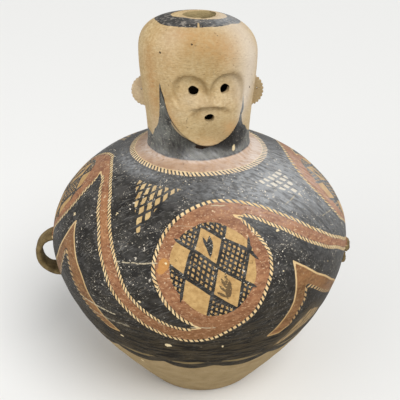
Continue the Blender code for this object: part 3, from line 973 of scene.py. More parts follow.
crotch_right = [
    (66, 172), (55, 181), (50, 190), (46, 199), (43, 206), (39.5, 213), (39, 200), (37.5, 190), (36, 180),
    (34, 170), (28, 162),
]
# The right fork and its strip come again at the side and the back, turned and raised.
FORK_COPIES = ((0, 0), (86, 11), (172, 9))
TONGUE_COPIES = ((0, 0), (86, 10), (172, 8))
forks = [fork_left] + [shifted(fork_right, *copy) for copy in FORK_COPIES]
crotches = [crotch_left] + [shifted(crotch_right, *copy) for copy in FORK_COPIES]
fork_d = np.full(len(way), -FAR)
fork_u = np.zeros(len(way))
for fork in forks:
    distance, u, odd, _ = measure(fork, 120.0, 300.0, closed=True)
    depth = np.where(odd, distance, -distance)
    fork_u = np.where(depth > fork_d, u, fork_u)
    fork_d = np.maximum(fork_d, depth)
crotch = np.full(len(way), FAR)
for line in crotches:
    crotch = np.minimum(crotch, measure(line, 120.0, 300.0)[0])
store("fork", fork_u, fork_d, crotch)

tongue = [
    (44.3, 177), (49, 170), (53, 162), (51, 156), (46, 150), (42, 146.5), (38, 141.5), (33, 136),
    (30.5, 136), (34.5, 150), (38, 162), (41.6, 173),
]
tongue_d = np.full(len(way), -FAR)
for copy in TONGUE_COPIES:
    tongue_d = np.maximum(tongue_d, signed(shifted(tongue, *copy), 110.0, 230.0, closed=True))

net_left = [
    (-43, 333), (-27, 332), (-10, 333), (-16, 325), (-20, 313), (-23, 296), (-25.5, 277), (-28, 290),
    (-32, 303), (-37, 320),
]
net_right = [
    (37, 334), (52, 334), (66, 333), (63, 326), (60.5, 312), (58.5, 300), (57.5, 289), (55.5, 300),
    (51, 312), (45, 322),
]
# Each net has two bundles of lines. A cell's two sides are given in mm, with the middle of one cell.
weave_left = [(-2.3, 10.5), (6.1, 6.2), (-48.1, 308.6)]
weave_right = [(3.6, -8.1), (8.4, -0.4), (106.7, 329.6)]
nets = [
    (net_left, weave_left, 0.0), (net_right, weave_right, 0.0),
    (net_right, weave_right, 88.0), (net_left, weave_left, -100.0),
]
NET_RADIUS = 110.0
net_d = np.full(len(way), -FAR)
strands = np.zeros((len(way), 2))
for net, (side_one, side_two, middle), turn in nets:
    depth = signed(shifted(net, turn, 0.0), 250.0, 350.0, closed=True)
    x = (azimuth - turn) * np.radians(1.0) * NET_RADIUS - middle[0]
    y = way - middle[1]
    area = side_one[0] * side_two[1] - side_one[1] * side_two[0]
    first = (x * side_two[1] - y * side_two[0]) / area + 0.5
    second = (side_one[0] * y - side_one[1] * x) / area + 0.5
    strands = np.where((depth > net_d)[:, None], np.column_stack([first, second]), strands)
    net_d = np.maximum(net_d, depth)
store("net", strands[:, 0], strands[:, 1], net_d)

scallop_tips = [
    (-174, 122), (-150, 123), (-128, 124), (-105, 124), (-83, 126), (-60.5, 128), (-38, 127), (-15.5, 125),
    (5.5, 119), (30, 122), (52, 124), (75, 124), (97, 125), (120, 124), (143, 123), (164, 122), (186, 122),
]
# The border's scallops and the cream moons in them, in mm and as a share of a scallop's width.
SCALLOP_SAG = 10.5
MOON_RISE = 9.5
MOON_SHARE = 0.43
MOON_SAGS = (2.2, 7.6)
scallops, crescents = [], np.full(len(way), -FAR)
for first, last in zip(scallop_tips, scallop_tips[1:]):
    wide = last[0] - first[0]
    middle, level = first[0] + 0.5 * wide, 0.5 * (first[1] + last[1])
    dip = level - SCALLOP_SAG
    share = np.linspace(-1.0, 1.0, 13)
    tips = np.interp(share, [-1.0, 1.0], [first[1], last[1]])
    arc = np.column_stack([middle + 0.5 * wide * share, tips - (1.0 - share ** 2) * (tips - dip)])
    scallops.append(arc[:-1])
    half, top = MOON_SHARE * wide, level + MOON_RISE
    moon = [(middle + half * x, top - MOON_SAGS[0] * (1.0 - x * x)) for x in np.linspace(-1.0, 1.0, 7)]
    moon += [(middle + half * x, top - MOON_SAGS[1] * (1.0 - x * x)) for x in np.linspace(0.85, -0.85, 6)]
    crescents = np.maximum(crescents, signed(moon, 100.0, 160.0, closed=True))
border_d = -signed(np.vstack([*scallops, scallop_tips[-1:]]), 60.0, 180.0)
border_d = np.where(way >= 180.0, 60.0, np.where(way <= 60.0, -60.0, border_d))
store("border", border_d, crescents, tongue_d)
print("scallops:", len(scallop_tips) - 1)

# %% [markdown]
# ## The head
#
# The neck is black up to a jagged line that leaves the face free, runs up beside it in two
# thin points like side locks, and drops under the ears. A second black band rings the
# crown like a cap's brim.

# %% Black of the neck and the crown
hair = [
    (-180, 386), (-140, 387), (-110, 389), (-80, 390), (-75, 393), (-70, 392), (-65, 391), (-62, 389),
    (-58, 393), (-55, 398), (-50, 402), (-47, 407), (-44, 415), (-42, 425), (-40.5, 436), (-39.5, 446),
    (-38.6, 452), (-37, 443), (-34, 433), (-31, 424), (-29.5, 418), (-27, 412), (-22, 406), (-16, 400.5),
    (-10, 397), (-5, 394), (-3, 391.5), (0, 389.5), (5, 389), (10, 388.5), (20, 390), (25, 391.5), (29, 395),
    (34, 399), (40, 404), (43.5, 410), (46, 420), (48, 431), (49, 436), (49.6, 424), (50.5, 413), (52, 407),
    (55, 402), (60, 399.5), (65, 394), (70, 391), (75, 389), (80, 387.5), (110, 386), (145, 385), (180, 386),
]
hair_d = signed(hair, 372.0, 470.0)
hair_d = np.where(way <= 372.0, 30.0, np.where(way >= 470.0, -30.0, hair_d))
brim_low = [
    (-180, 505), (-100, 505), (-90, 506), (-75, 507.5), (-60, 507), (-45, 507), (-30, 508.5), (0, 509.3),
    (15, 510), (30, 509), (45, 509), (60, 509), (75, 505), (90, 503), (105, 501), (180, 504),
]
brim_high = [
    (-180, 522), (-125, 522.5), (-100, 521), (-75, 523), (-60, 526), (-45, 528.5), (-30, 528), (0, 527),
    (30, 525), (60, 521), (90, 518), (110, 518), (180, 521),
]
low_edge = np.interp(azimuth, *np.array(brim_low, float).T)
high_edge = np.interp(azimuth, *np.array(brim_high, float).T)
crown_d = np.minimum(way - low_edge, high_edge - way)
# A narrow slit of bare clay runs up into the brim at the front.
crown_d = np.where((np.abs(azimuth - 1.0) < 1.3) & (way < 517.5), -np.abs(crown_d), crown_d)
gap = [
    (-29, 417), (-26.5, 411.5), (-22, 406), (-16, 400.5), (-10, 397), (-13, 396), (-19, 399), (-25, 404),
    (-29, 410),
]
gap_d = signed(gap, 380.0, 430.0, closed=True)
store("head", hair_d, crown_d, gap_d)
# Lines beside which the head's finish paints shade: the brows, the base of the nose and the jaw.
brows = [
    [(-24, 441), (-22, 449), (-19, 455), (-15, 459), (-9, 460.5), (-3, 459), (2, 456), (6, 451), (8, 444)],
    [(12, 446), (14, 452), (18, 457), (25, 460), (33, 460.5), (40, 457.5), (45, 451), (47, 442), (46, 432)],
]
brow_d = np.full(len(way), FAR)
for line in brows:
    brow_d = np.minimum(brow_d, measure(curve(line), 372.0, 500.0)[0])
nose_base = [(-5, 421), (-2, 424.5), (2, 427.5), (7, 429.5), (13, 429.5), (19, 427.5), (25, 425), (31, 423)]
nose_d = measure(curve(nose_base), 372.0, 500.0)[0]
jaw_line = [
    (-37, 441), (-33, 427), (-28, 414), (-22, 406.5), (-16, 401), (-10, 397.5), (-4, 392.5), (0, 389.5),
    (6, 389), (12, 389),
]
jaw_d = measure(curve(jaw_line), 372.0, 500.0)[0]
store("crease", brow_d, nose_d, jaw_d)

# %% [markdown]
# ## Fire, age, painted light and shade
#
# The kiln left the clay warmer in places and the ground has rubbed it since: an orange
# blush on the forehead and the temple, and a whitish bloom on the right of the head and the
# shoulder, which there is also painted sheen. The black is darker and browner low down.
# Pale patches are also painted light round the eyes and on the left ear. Dark patches are
# soot and painted shade on the lower sides, under the brows and the chin, on the right of
# the neck and on the right ear. A few soft patches, listed one by one, carry all that.

# %% Soft patches of warmth, bloom, soot, painted light and shade, and wear
def patches(places):
    """Sum of soft patches given as degrees, mm up the wall, half sizes in mm and strength."""
    total = np.zeros(len(way))
    for turn, rise, wide, tall, strength in places:
        x, y = sideways(turn) / wide, (way - rise) / tall
        total += strength * np.exp(-0.5 * (x * x + y * y))
    return total


blush = patches([
    (10, 491, 22, 12, 0.5), (30, 478, 10, 10, 0.35), (-50, 440, 6, 26, 0.8), (-55, 475, 8, 10, 0.3),
    (10, 394, 10, 4, 0.4), (34, 405, 6, 5, 0.7), (170, 450, 40, 30, 0.4), (-44, 270, 14, 55, 0.14),
    (-28, 470, 10, 14, 0.3), (-34, 425, 5, 12, 0.4), (-28, 412, 4, 8, 0.5), (-15, 500, 12, 4, 0.4),
])
# Whitish bloom, and painted light: a sheen on the right shoulder and the right of the head, paler rings round
# the eyes and a paler left ear.
bloom = patches([
    (60, 472, 16, 32, 1.0), (55, 432, 6, 14, 0.5), (46, 322, 40, 24, 0.95), (78, 298, 50, 45, 0.75),
    (88, 362, 22, 9, 0.6), (-100, 330, 50, 40, 0.15), (10, 425, 8, 10, 0.1), (-5, 437, 9, 6, 0.25),
    (27, 435, 9, 5, 0.15), (-20, 425, 9, 9, 0.1), (-88, 435, 4.5, 20, 0.45), (-30, 495, 10, 12, 0.25),
    (-55, 343, 34, 6, 0.6), (-70, 368, 22, 6, 0.6), (-48, 392, 9, 14, 0.35), (2, 376, 26, 3.0, 0.6),
    (6, 382, 15, 5, 0.7), (100, 514, 22, 12, 0.7), (-5, 330, 30, 10, 0.18), (48, 412, 4, 18, 0.5),
])
# Darker low down, soot, and painted shade: on the lower sides, under the brows and the chin, on the right of
# the neck and on the right ear.
soot = patches([
    (0, 60, 400, 60, 0.5), (-66, 150, 30, 30, 0.4), (-60, 210, 30, 40, 0.5), (56, 165, 36, 30, 0.8),
    (40, 205, 25, 25, 0.4), (-75, 360, 30, 8, 0.3), (-30, 360, 30, 6, 0.2), (88, 430, 4.5, 20, 0.9),
    (11, 443, 6, 12, 0.2), (12, 406, 22, 12, 0.68), (38, 392, 15, 9, 0.8), (28, 455, 9, 5, 0.3),
    (-8, 455, 8, 4, 0.25), (8, 482, 24, 18, 0.72), (-26, 380, 10, 12, 0.3), (-32, 440, 6, 14, 0.2),
    (40, 440, 5, 16, 0.3),
])
store("tint", blush, bloom, soot)


def spots(places):
    """Depth inside oval marks, given as degrees, mm up the wall and half sizes in mm."""
    result = np.full(len(way), -9.0)
    for turn, rise, wide, tall in places:
        size = np.hypot(sideways(turn) / wide, (way - rise) / tall)
        result = np.maximum(result, (1.0 - size) * min(wide, tall))
    return result


chips = spots([
    (-12, 256.5, 1.7, 1.6), (-11.5, 163, 3.4, 2.6), (33.5, 279, 2.0, 1.8), (41, 380.5, 1.9, 3.4),
    (-28, 106, 1.6, 3.0), (-39, 291, 1.8, 1.6), (-62, 267, 2.6, 1.6), (8, 162, 1.3, 1.8),
    (0, 164, 1.8, 1.0), (-20, 217, 2.0, 1.2), (30, 240, 1.6, 1.2), (-30, 160, 2.2, 1.4),
    (52, 226, 2.0, 1.2), (120, 260, 3.0, 2.5), (-150, 230, 3.0, 2.0),
])
# The first mark, wide and flat under the chin, is a painted shadow; the others are small dents.
dents_and_chin_shadow = spots([
    (3, 387.5, 7.5, 2.4), (-6, 489, 1.0, 1.0), (-37, 479, 1.2, 1.0), (22, 497, 0.8, 0.8),
    (60, 440, 1.0, 1.0),
])
stains = spots([(-12.6, 255.5, 5.2, 6.0), (-13.5, 249.5, 4.0, 3.0)])
store("marks", chips, dents_and_chin_shadow, stains)
print("patches stored; blush up to", round(float(blush.max()), 2))

# %% [markdown]
# ## The fired clay and its two slips
#
# Three finishes cover the jar. Two are its painted outside, one for the head and one for the
# body: clay burnished with a pebble, then manganese black, iron red-brown and the bare cream
# clay left between them as lines. They share the black, the wear and the gloss, and are two
# because one finish with all of their nodes renders black. The third is bare earthenware, for
# the handle, the broken stumps, the underside and the inside. Colours are read from
# the photograph and given as hex. The noises break them up at the real
# sizes of brush marks, grit and rubbing, in millimetres. Each noise has a shift of its own,
# which takes it to another stretch of the same pattern.

# %% Colour and node helpers
EVEN = (1.0, 1.0, 1.0)


def paint(code):
    """A hex colour turned into the linear colour that a shader takes."""
    parts = [int(code[i:i + 2], 16) / 255.0 for i in (0, 2, 4)]
    linear = [part / 12.92 if part <= 0.04045 else ((part + 0.055) / 1.055) ** 2.4 for part in parts]
    return (*linear, 1.0)


class Nodes:
    """The node tree of one material, built up line by line."""

    def __init__(self, name):
        self.material = bpy.data.materials.new(name)
        self.material.use_nodes = True
        self.tree = self.material.node_tree
        self.shader = self.tree.nodes["Principled BSDF"]
        self.place = self.add("TexCoord").outputs["Object"]

    def add(self, kind, inputs=None, **settings):
        """Add a node, set its settings and fill its inputs with values or links."""
        made = self.tree.nodes.new("ShaderNode" + kind)
        for key, value in settings.items():
            setattr(made, key, value)
        for slot, value in (inputs or {}).items():
            self.fill(made.inputs[slot], value)
        return made

    def fill(self, slot, value):
        """Give a slot a link or a value."""
        if isinstance(value, bpy.types.NodeSocket):
            self.tree.links.new(value, slot)
        else:
            slot.default_value = value

    def calc(self, operation, *values):
        """One sum on numbers."""
        return self.add("Math", dict(enumerate(values)), operation=operation).outputs[0]

    def scaled(self, value, factor, start):
        """A number times a factor, on top of a start."""
        return self.calc("MULTIPLY_ADD", value, factor, start)

    def both(self, *masks):
        """Where all masks are on."""
        return functools.reduce(lambda one, two: self.calc("MULTIPLY", one, two), masks)

    def either(self, *masks):
        """Where any mask is on."""
        return functools.reduce(lambda one, two: self.calc("MAXIMUM", one, two), masks)

    def no(self, mask):
        """Where a mask is off."""
        return self.calc("SUBTRACT", 1.0, mask)

    def ramp(self, value, limit, soft, low, high):
        """Pass from one number to another round a limit."""
        inputs = {0: value, 1: limit - soft, 2: limit + soft, 3: low, 4: high}
        return self.add("MapRange", inputs, clamp=True).outputs[0]

    def over(self, value, limit, soft=0.2):
        """Mask of a value above a limit, with a soft edge."""
        return self.ramp(value, limit, soft, 0.0, 1.0)

    def under(self, value, limit, soft=0.2):
        """Mask of a value below a limit, with a soft edge."""
        return self.ramp(value, limit, soft, 1.0, 0.0)

    def beyond(self, value, other, soft):
        """Mask of a value above another one."""
        return self.over(self.calc("SUBTRACT", value, other), 0.0, soft)

    def split(self, vector):
        """The three parts of a vector."""
        return self.add("SeparateXYZ", {0: vector}).outputs[:]

    def stored(self, name):
        """The three numbers that the mesh carries under a name."""
        return self.split(self.add("Attribute", attribute_name=name).outputs["Vector"])

    def ripple(self, where, scale, detail, shift):
        """Noise from 0 to 1 at a place that is scaled per direction and shifted."""
        where = self.add("VectorMath", {0: where, 1: scale}, operation="MULTIPLY").outputs[0]
        where = self.add("VectorMath", {0: where, 1: (shift, shift, shift)}, operation="ADD").outputs[0]
        return self.add("TexNoise", {"Vector": where, "Scale": 1.0, "Detail": detail}).outputs[0]

    def noise(self, size, detail=2.0, stretch=EVEN, shift=0.0):
        """Noise with patches of a size in mm, stretched per direction."""
        return self.ripple(self.place, tuple(MM / size / part for part in stretch), detail, shift)

    def clouds(self, size, detail, limit, soft, stretch=EVEN, shift=0.0):
        """Mask of the patches of a noise."""
        return self.over(self.noise(size, detail, stretch, shift), limit, soft)

    def dashes(self, turn, width, length, limit, shift=0.0, soft=0.03):
        """Straight dashes of a width and a length in mm, turned by an angle in the front plane."""
        inputs = {"Vector": self.place, "Angle": math.radians(turn)}
        turned = self.add("VectorRotate", inputs, rotation_type="Y_AXIS").outputs[0]
        scale = (MM / width, MM / width, MM / length)
        return self.over(self.ripple(turned, scale, 2.0, shift), limit, soft)

    def wobble(self, value, size, amount, shift=0.0):
        """Move a distance by a hand's unsteadiness."""
        unsteady = self.scaled(self.noise(size, 1.0, shift=shift), 2.0 * amount, -amount)
        return self.calc("ADD", value, unsteady)

    def edge(self, depth, size, amount, shift=0.0, soft=0.2):
        """Mask inside an outline that an unsteady hand drew."""
        return self.over(self.wobble(depth, size, amount, shift), 0.0, soft)

    def mix(self, factor, low, high):
        """Mix two colours."""
        return self.add("Mix", {0: factor, 6: low, 7: high}, data_type="RGBA").outputs[2]

    def tones(self, mask, low, high):
        """Two tones of one ground, parted by a mask."""
        return self.mix(mask, paint(low), paint(high))

    def coat(self, ground, code, *masks):
        """Lay a colour over a ground where all masks are on."""
        return self.mix(self.both(*masks), ground, paint(code))

    def finish(self, colour, roughness, relief, depth, gloss=0.15):
        """Fill the shader with a colour, a roughness, a relief of a depth in metres and a gloss."""
        bump = self.add("Bump", {"Strength": 1.0, "Distance": depth, "Height": relief})
        values = {"Base Color": colour, "Roughness": roughness, "Normal": bump.outputs[0]}
        values.update({"Metallic": 0.0, "IOR": 1.5, "Specular IOR Level": gloss})
        for slot, value in values.items():
            self.fill(self.shader.inputs[slot], value)
        return self.material


# %% Bare fired earthenware: handle, stumps, underside and inside
bare = Nodes("bare_fired_earthenware")
# Smoke-stained buff clay. The 9 mm mottling and 1.4 mm grit keep the handle from looking cast.
clay = bare.tones(bare.clouds(9.0, 3.0, 0.5, 0.16), "625235", "86734e")
clay = bare.coat(clay, "4d4230", bare.clouds(1.4, 2.0, 0.62, 0.06, shift=9.0))
# Dark brown inside above 24 cm, and pale for the last centimetre below the mouth.
PALE_ABOVE = HEAD_TOP - 0.010
DARK_ABOVE = 0.24
rise = bare.split(bare.place)[2]
sooty = bare.both(bare.over(rise, DARK_ABOVE, 0.01), bare.under(rise, PALE_ABOVE, 0.003))
clay = bare.coat(clay, "241d15", sooty, 0.85)
clay = bare.coat(clay, "bba77a", bare.over(rise, PALE_ABOVE, 0.003), 0.7)
relief = bare.scaled(bare.noise(6.0, 2.0), 2.0, bare.noise(1.2, 3.0))
bare_clay = bare.finish(clay, bare.scaled(bare.noise(4.0), 0.2, 0.66), relief, 0.0006)

# %% Ground, black slip and finish that the body and the head share
def painted(name):
    """Start a painted finish with its slow clouds and the stored patches of warmth, bloom with painted light,
    and soot with painted shade.
    """
    p = Nodes(name)
    p.way_mm = p.add("Attribute", attribute_name="way").outputs["Fac"]
    p.blush, p.bloom, p.soot = p.stored("tint")
    p.high = p.over(p.way_mm, 205.0, 45.0)
    p.patchy = p.noise(14.0, 4.0)
    p.scraped = p.noise(5.0, 3.0, (1.0, 1.0, 0.25), 3.0)
    # The bloom is a lime haze and a painted sheen, in streaks 3 mm wide and patches of 12 mm.
    haze = p.scaled(p.dashes(48.0, 3.0, 14.0, 0.5, 23.0, 0.14), 0.75, 0.50)
    p.haze = p.both(p.bloom, haze, p.scaled(p.noise(12.0, 3.0, shift=24.0), 0.7, 0.65), 0.9)
    # Specks of 1 to 3 mm where a slip has flaked off the grit beneath it, in loose groups.
    p.clusters = p.both(p.clouds(20.0, 4.0, 0.49, 0.07, shift=29.0), p.over(p.way_mm, 200.0, 40.0))
    p.flaked = p.clouds(1.7, 3.0, 0.685, 0.03, (1.3, 1.3, 0.8), 20.0)
    small = p.clouds(1.5, 2.0, 0.702, 0.03, (1.2, 1.2, 0.9), 27.0)
    large = p.clouds(2.5, 2.0, 0.678, 0.02, (1.1, 1.1, 0.8), 41.0)
    p.flecks = p.both(p.either(small, large), p.clusters)
    # Straight scratches 1 mm wide, most of them falling to the left.
    falling, rising = p.dashes(52.0, 1.0, 9.0, 0.70, 35.0), p.dashes(-64.0, 1.0, 7.0, 0.72, 38.0)
    p.hairs = p.both(p.either(falling, rising), p.clusters)
    return p


def black_slip(p):
    """Manganese black: darker with soot and painted shade, grey where the lime haze and painted sheen lie,
    brown low down, worn through in specks.
    """
    black = p.tones(p.over(p.patchy, 0.48, 0.16), "201e1d", "35332f")
    low_black = p.tones(p.clouds(8.0, 4.0, 0.5, 0.10, (2.4, 2.4, 0.4), 25.0), "1d1811", "493f2e")
    black = p.mix(p.both(p.under(p.way_mm, 190.0, 45.0), 0.95), black, low_black)
    # Darker where soot and painted shade lie, and paler where the lime haze and painted sheen lie.
    black = p.coat(black, "1b150c", p.soot, 0.8)
    black = p.coat(black, "a0a2a4", p.haze)
    rubbed = p.clouds(9.0, 5.0, 0.56, 0.06, (1.6, 1.6, 0.7), 31.0)
    black = p.coat(black, "6a6764", rubbed, p.high, 0.26)
    # Long pale scuffs, where the jar was wiped: 1.6 mm wide and 14 mm long.
    black = p.coat(black, "8f8d88", p.dashes(-61.0, 1.6, 14.0, 0.62, 33.0), p.scaled(p.high, 0.7, 0.3), 0.28)
    black = p.coat(black, "c9bfac", p.hairs, 0.6)
    black = p.coat(black, "a4957f", p.flaked, p.clusters, 0.8)
    return p.coat(black, "e6dcc9", p.flecks, 0.95)


def wear_and_chin_shadow(p, colour):
    """Warm stains, chips down to the pale clay, small dark dents and a painted shadow under the chin."""
    chip_d, dent_and_shadow_d, stain_d = p.stored("marks")
    colour = p.coat(colour, "c08a4c", p.edge(stain_d, 4.0, 0.8, 205.0, 0.5), 0.85)
    colour = p.coat(colour, "e6d2a8", p.edge(chip_d, 1.8, 1.0, 210.0, 0.25))
    return p.coat(colour, "2a1e16", p.edge(dent_and_shadow_d, 1.8, 0.8, 215.0, 0.25))


def burnished(p, colour, glossy):
    """Finish a painted wall: the slips are smoother than the clay; tool marks and pits in relief."""
    rough = p.scaled(p.calc("SUBTRACT", p.patchy, 0.5), 0.25, p.scaled(glossy, -0.14, 0.62))
    relief = p.scaled(p.scraped, 1.2, p.calc("MULTIPLY", p.noise(1.1, 2.0), 0.5))
    pits = p.under(p.noise(3.4, 1.0, shift=240.0), 0.24, 0.03)
    relief = p.scaled(p.flaked, -0.6, p.scaled(pits, -1.5, relief))
    # The lower wall is dull from standing in soil.
    return p.finish(colour, rough, relief, 0.0005, gloss=p.scaled(p.high, 0.12, 0.03))


# %% Painted earthenware of the head: buff clay, black neck and black crown
p = painted("painted_earthenware_head")
# Warm buff clay with paler and darker clouds about 14 mm wide, as the kiln's air left them.
clay = p.tones(p.over(p.patchy, 0.5, 0.2), "bd9f6e", "d2b98a")
clay = p.coat(clay, "b08c5f", p.over(p.scraped, 0.55, 0.16), 0.25)
speckled = p.noise(3.2, 4.0, shift=7.0)
clay = p.coat(clay, "a48455", p.over(speckled, 0.56, 0.10), 0.38)
clay = p.coat(clay, "e0cda6", p.under(speckled, 0.42, 0.08), 0.30)
clay = p.coat(clay, "e0cca2", p.clouds(24.0, 4.0, 0.50, 0.08, shift=8.0), 0.32)
clay = p.coat(clay, "98794a", p.clouds(1.5, 3.0, 0.54, 0.08, (1.8, 1.8, 0.7), 9.0), 0.30)
# Darker where soot and painted shade lie, and paler where the bloom and painted light lie.
clay = p.coat(clay, "8a744c", p.soot, 0.8)
clay = p.coat(clay, "c09059", p.blush, p.scaled(speckled, 1.2, 0.1))
clay = p.coat(clay, "ddd0c0", p.bloom, 0.75)
# Painted shade, with some grime, darkens the modelled hollows: under the brows, the nose and along the jaw.
brow_d, nose_d, jaw_d = p.stored("crease")
clay = p.coat(clay, "7d6236", p.under(brow_d, 2.2, 2.2), 0.42)
clay = p.coat(clay, "6f5630", p.under(nose_d, 1.8, 1.8), 0.45)
clay = p.coat(clay, "3d2d20", p.under(p.wobble(jaw_d, 4.0, 0.6, 12.0), 0.7, 0.5), 0.6)

black = black_slip(p)
hair_d, crown_d, gap_d = p.stored("head")
# The neck's black is streaked downwards by the brush and clouded by wear.
worn_neck = p.under(p.soot, 0.35, 0.3)
streaks = p.clouds(2.4, 4.0, 0.54, 0.12, (1.0, 1.0, 3.5), 170.0)
neck_black = p.coat(black, "9a9a8f", streaks, worn_neck, 0.42)
wear = p.clouds(7.0, 4.0, 0.50, 0.14, (1.0, 1.0, 1.6), 175.0)
neck_black = p.coat(neck_black, "8a8c84", wear, worn_neck, 0.40)
# Where soot and painted shade lie, the streaks and wear above fade and the black is darker.
neck_black = p.coat(neck_black, "1c1815", p.over(p.soot, 0.35, 0.2), 0.75)
hair_edge = p.wobble(hair_d, 3.0, 0.5, 180.0)
on_neck = p.over(hair_edge, 0.0, 0.25)
colour = p.mix(on_neck, clay, neck_black)
colour = p.coat(colour, "c2aa84", p.edge(gap_d, 3.0, 0.4, 185.0, 0.3), 0.8)
# A dark line along the top of the neck's black under the jaw is painted shadow.
colour = p.coat(colour, "241b15", p.under(hair_edge, 1.5, 0.4), p.under(jaw_d, 5.0, 1.5), on_neck, 0.8)
on_crown = p.edge(crown_d, 3.0, 0.7, 190.0, 0.3)
crown_black = p.coat(black, "a39b90", p.clouds(4.0, 4.0, 0.58, 0.05, shift=200.0), 0.6)
colour = p.mix(on_crown, colour, crown_black)
painted_head = burnished(p, wear_and_chin_shadow(p, colour), p.either(on_neck, on_crown))
print("nodes of the head's finish:", len(p.tree.nodes))

# %% Painted earthenware of the body: bare foot, black field and lower border
p = painted("painted_earthenware_body")
x, y = p.split(p.place)[:2]
turn = p.calc("MULTIPLY", p.calc("ARCTAN2", x, p.calc("MULTIPLY", y, -1.0)), math.degrees(1.0))
# The bare foot is darker where soot and painted shade lie.
foot_clay = p.coat(p.tones(p.over(p.patchy, 0.5, 0.2), "98825c", "ae9873"), "7d6c4d", p.soot, 0.4)
black = black_slip(p)
cream = p.tones(p.clouds(6.0, 3.0, 0.5, 0.14, shift=5.0), "d8b581", "ead0a0")
border_d, crescent_d, tongue_d = p.stored("border")
on_body = p.edge(border_d, 5.0, 0.8)
colour = p.mix(on_body, foot_clay, black)
dull_cream = p.tones(p.over(p.patchy, 0.5, 0.2), "6b5b3e", "897752")
colour = p.mix(p.edge(crescent_d, 4.0, 0.5), colour, dull_cream)
# The light strip between the fork's legs was brushed over while the black was wet, and the
# black beside it is thin and brownish.
thin_black = p.over(p.wobble(tongue_d, 7.0, 3.0, 46.0), -8.0, 5.0)
colour = p.coat(colour, "544731", thin_black, p.over(p.way_mm, 125.0, 15.0), 0.6)
left_clear = p.no(p.dashes(-35.0, 2.2, 18.0, 0.53, 45.0, 0.06))
colour = p.coat(colour, "a68b62", p.edge(tongue_d, 6.0, 2.2, soft=0.6), p.scaled(left_clear, 0.8, 0.2))

# %% Red-brown band with its toothed edges
BAND_EDGE = 3.3
CUSP_EDGE = 1.3
brown = p.tones(p.clouds(7.0, 4.0, 0.5, 0.14, (2.0, 2.0, 0.7), 11.0), "7f543b", "9f704f")
brown = p.coat(brown, "74502f", p.under(p.way_mm, 205.0, 25.0), 0.7)
# The band is paler where the lime haze and painted sheen lie.
brown = p.coat(brown, "c3a597", p.haze)
brown = p.coat(brown, "b88c68", p.clouds(3.0, 5.0, 0.56, 0.07, (1.5, 1.5, 0.9), 12.0), 0.35)
brown = p.coat(brown, "cf9652", p.blush, 0.9, p.under(p.way_mm, 340.0))
brown = p.coat(brown, "d2ab83", p.clouds(2.0, 2.0, 0.645, 0.03, (1.6, 1.6, 0.6), 40.0), 0.6)
brown = p.coat(brown, "d6b592", p.hairs, 0.7)
brown = p.coat(brown, "e2c8a6", p.flecks, 0.8)


def toothed(name, shift):
    """Depth inside one edge of the band, its cream edge and the black strokes across it."""
    phase, inside, cusp = p.stored(name)
    depth = p.wobble(inside, 6.0, 0.35, shift)
    width = p.scaled(p.noise(12.0, 2.0, shift=shift + 8.0), 0.30, 0.25)
    cut = p.beyond(width, p.calc("FRACT", p.wobble(phase, 9.0, 0.16, shift + 3.0)), 0.04)
    # Where the band turns back on itself, the cream edge is thin and has no strokes.
    away = p.over(cusp, 9.0, 1.5)
    edge_width = p.scaled(away, BAND_EDGE - CUSP_EDGE, CUSP_EDGE)
    pale = p.beyond(edge_width, p.wobble(depth, 3.0, 0.4, shift + 5.0), 0.3)
    reached = p.beyond(p.calc("ADD", edge_width, 0.7), depth, 0.3)
    return depth, pale, p.both(reached, cut, away)


upper_depth, upper_pale, upper_cut = toothed("upper_edge", 50.0)
lower_depth, lower_pale, lower_cut = toothed("lower_edge", 60.0)
band = p.both(p.over(upper_depth, 0.0, 0.15), p.over(lower_depth, 0.0, 0.15))
band_colour = p.mix(p.either(upper_pale, lower_pale), brown, cream)
band_colour = p.mix(p.either(upper_cut, lower_cut), band_colour, black)
colour = p.mix(band, colour, band_colour)

# %% Medallions: chequered cells of cream and net
LINE_HALF = 1.6
NET_PITCH = 4.5
disc_x, disc_y, disc_d = p.stored("disc")
steep, falling = p.stored("steep"), p.stored("falling")
product = steep[0]
nearest = p.calc("ABSOLUTE", steep[0])
for value in (*steep[1:], *falling):
    product = p.calc("MULTIPLY", p.calc("SIGN", product), value)
    nearest = p.calc("MINIMUM", nearest, p.calc("ABSOLUTE", value))
netted = p.over(product, 0.0, 0.01)
net_across, net_down = (
    p.calc("PINGPONG", p.calc("DIVIDE", lines[1], NET_PITCH), 0.5) for lines in (steep, falling)
)
square = p.both(p.over(net_across, 0.245, 0.03), p.over(net_down, 0.235, 0.03))
square = p.both(square, p.clouds(3.0, 1.0, 0.36, 0.03, shift=70.0))
ruled = p.under(p.wobble(nearest, 3.0, 0.25), LINE_HALF, 0.2)
disc_cream = p.tones(p.clouds(5.0, 3.0, 0.5, 0.15, shift=75.0), "ae8a58", "c5a26c")
# The disc's cream is paler where the bloom and painted light lie.
disc_cream = p.coat(disc_cream, "dcc4a8", p.bloom, 0.6)
cell = p.mix(p.either(ruled, p.both(netted, p.no(square))), disc_cream, black)


def leaf(centre, half_length, half_width, tilt, ragged, shift):
    """A pointed leaf in the cell: two bulging sides with ragged edges."""
    cos, sin = math.cos(math.radians(tilt)), math.sin(math.radians(tilt))
    dx = p.calc("SUBTRACT", disc_x, centre[0])
    dy = p.calc("SUBTRACT", disc_y, centre[1])
    along = p.scaled(dx, sin / half_length, p.calc("MULTIPLY", dy, cos / half_length))
    across = p.scaled(dx, cos / half_width, p.calc("MULTIPLY", dy, -sin / half_width))
    side = p.calc("SUBTRACT", p.no(p.calc("MULTIPLY", along, along)), p.calc("ABSOLUTE", across))
    return p.edge(side, 2.6, ragged, shift, 0.08)


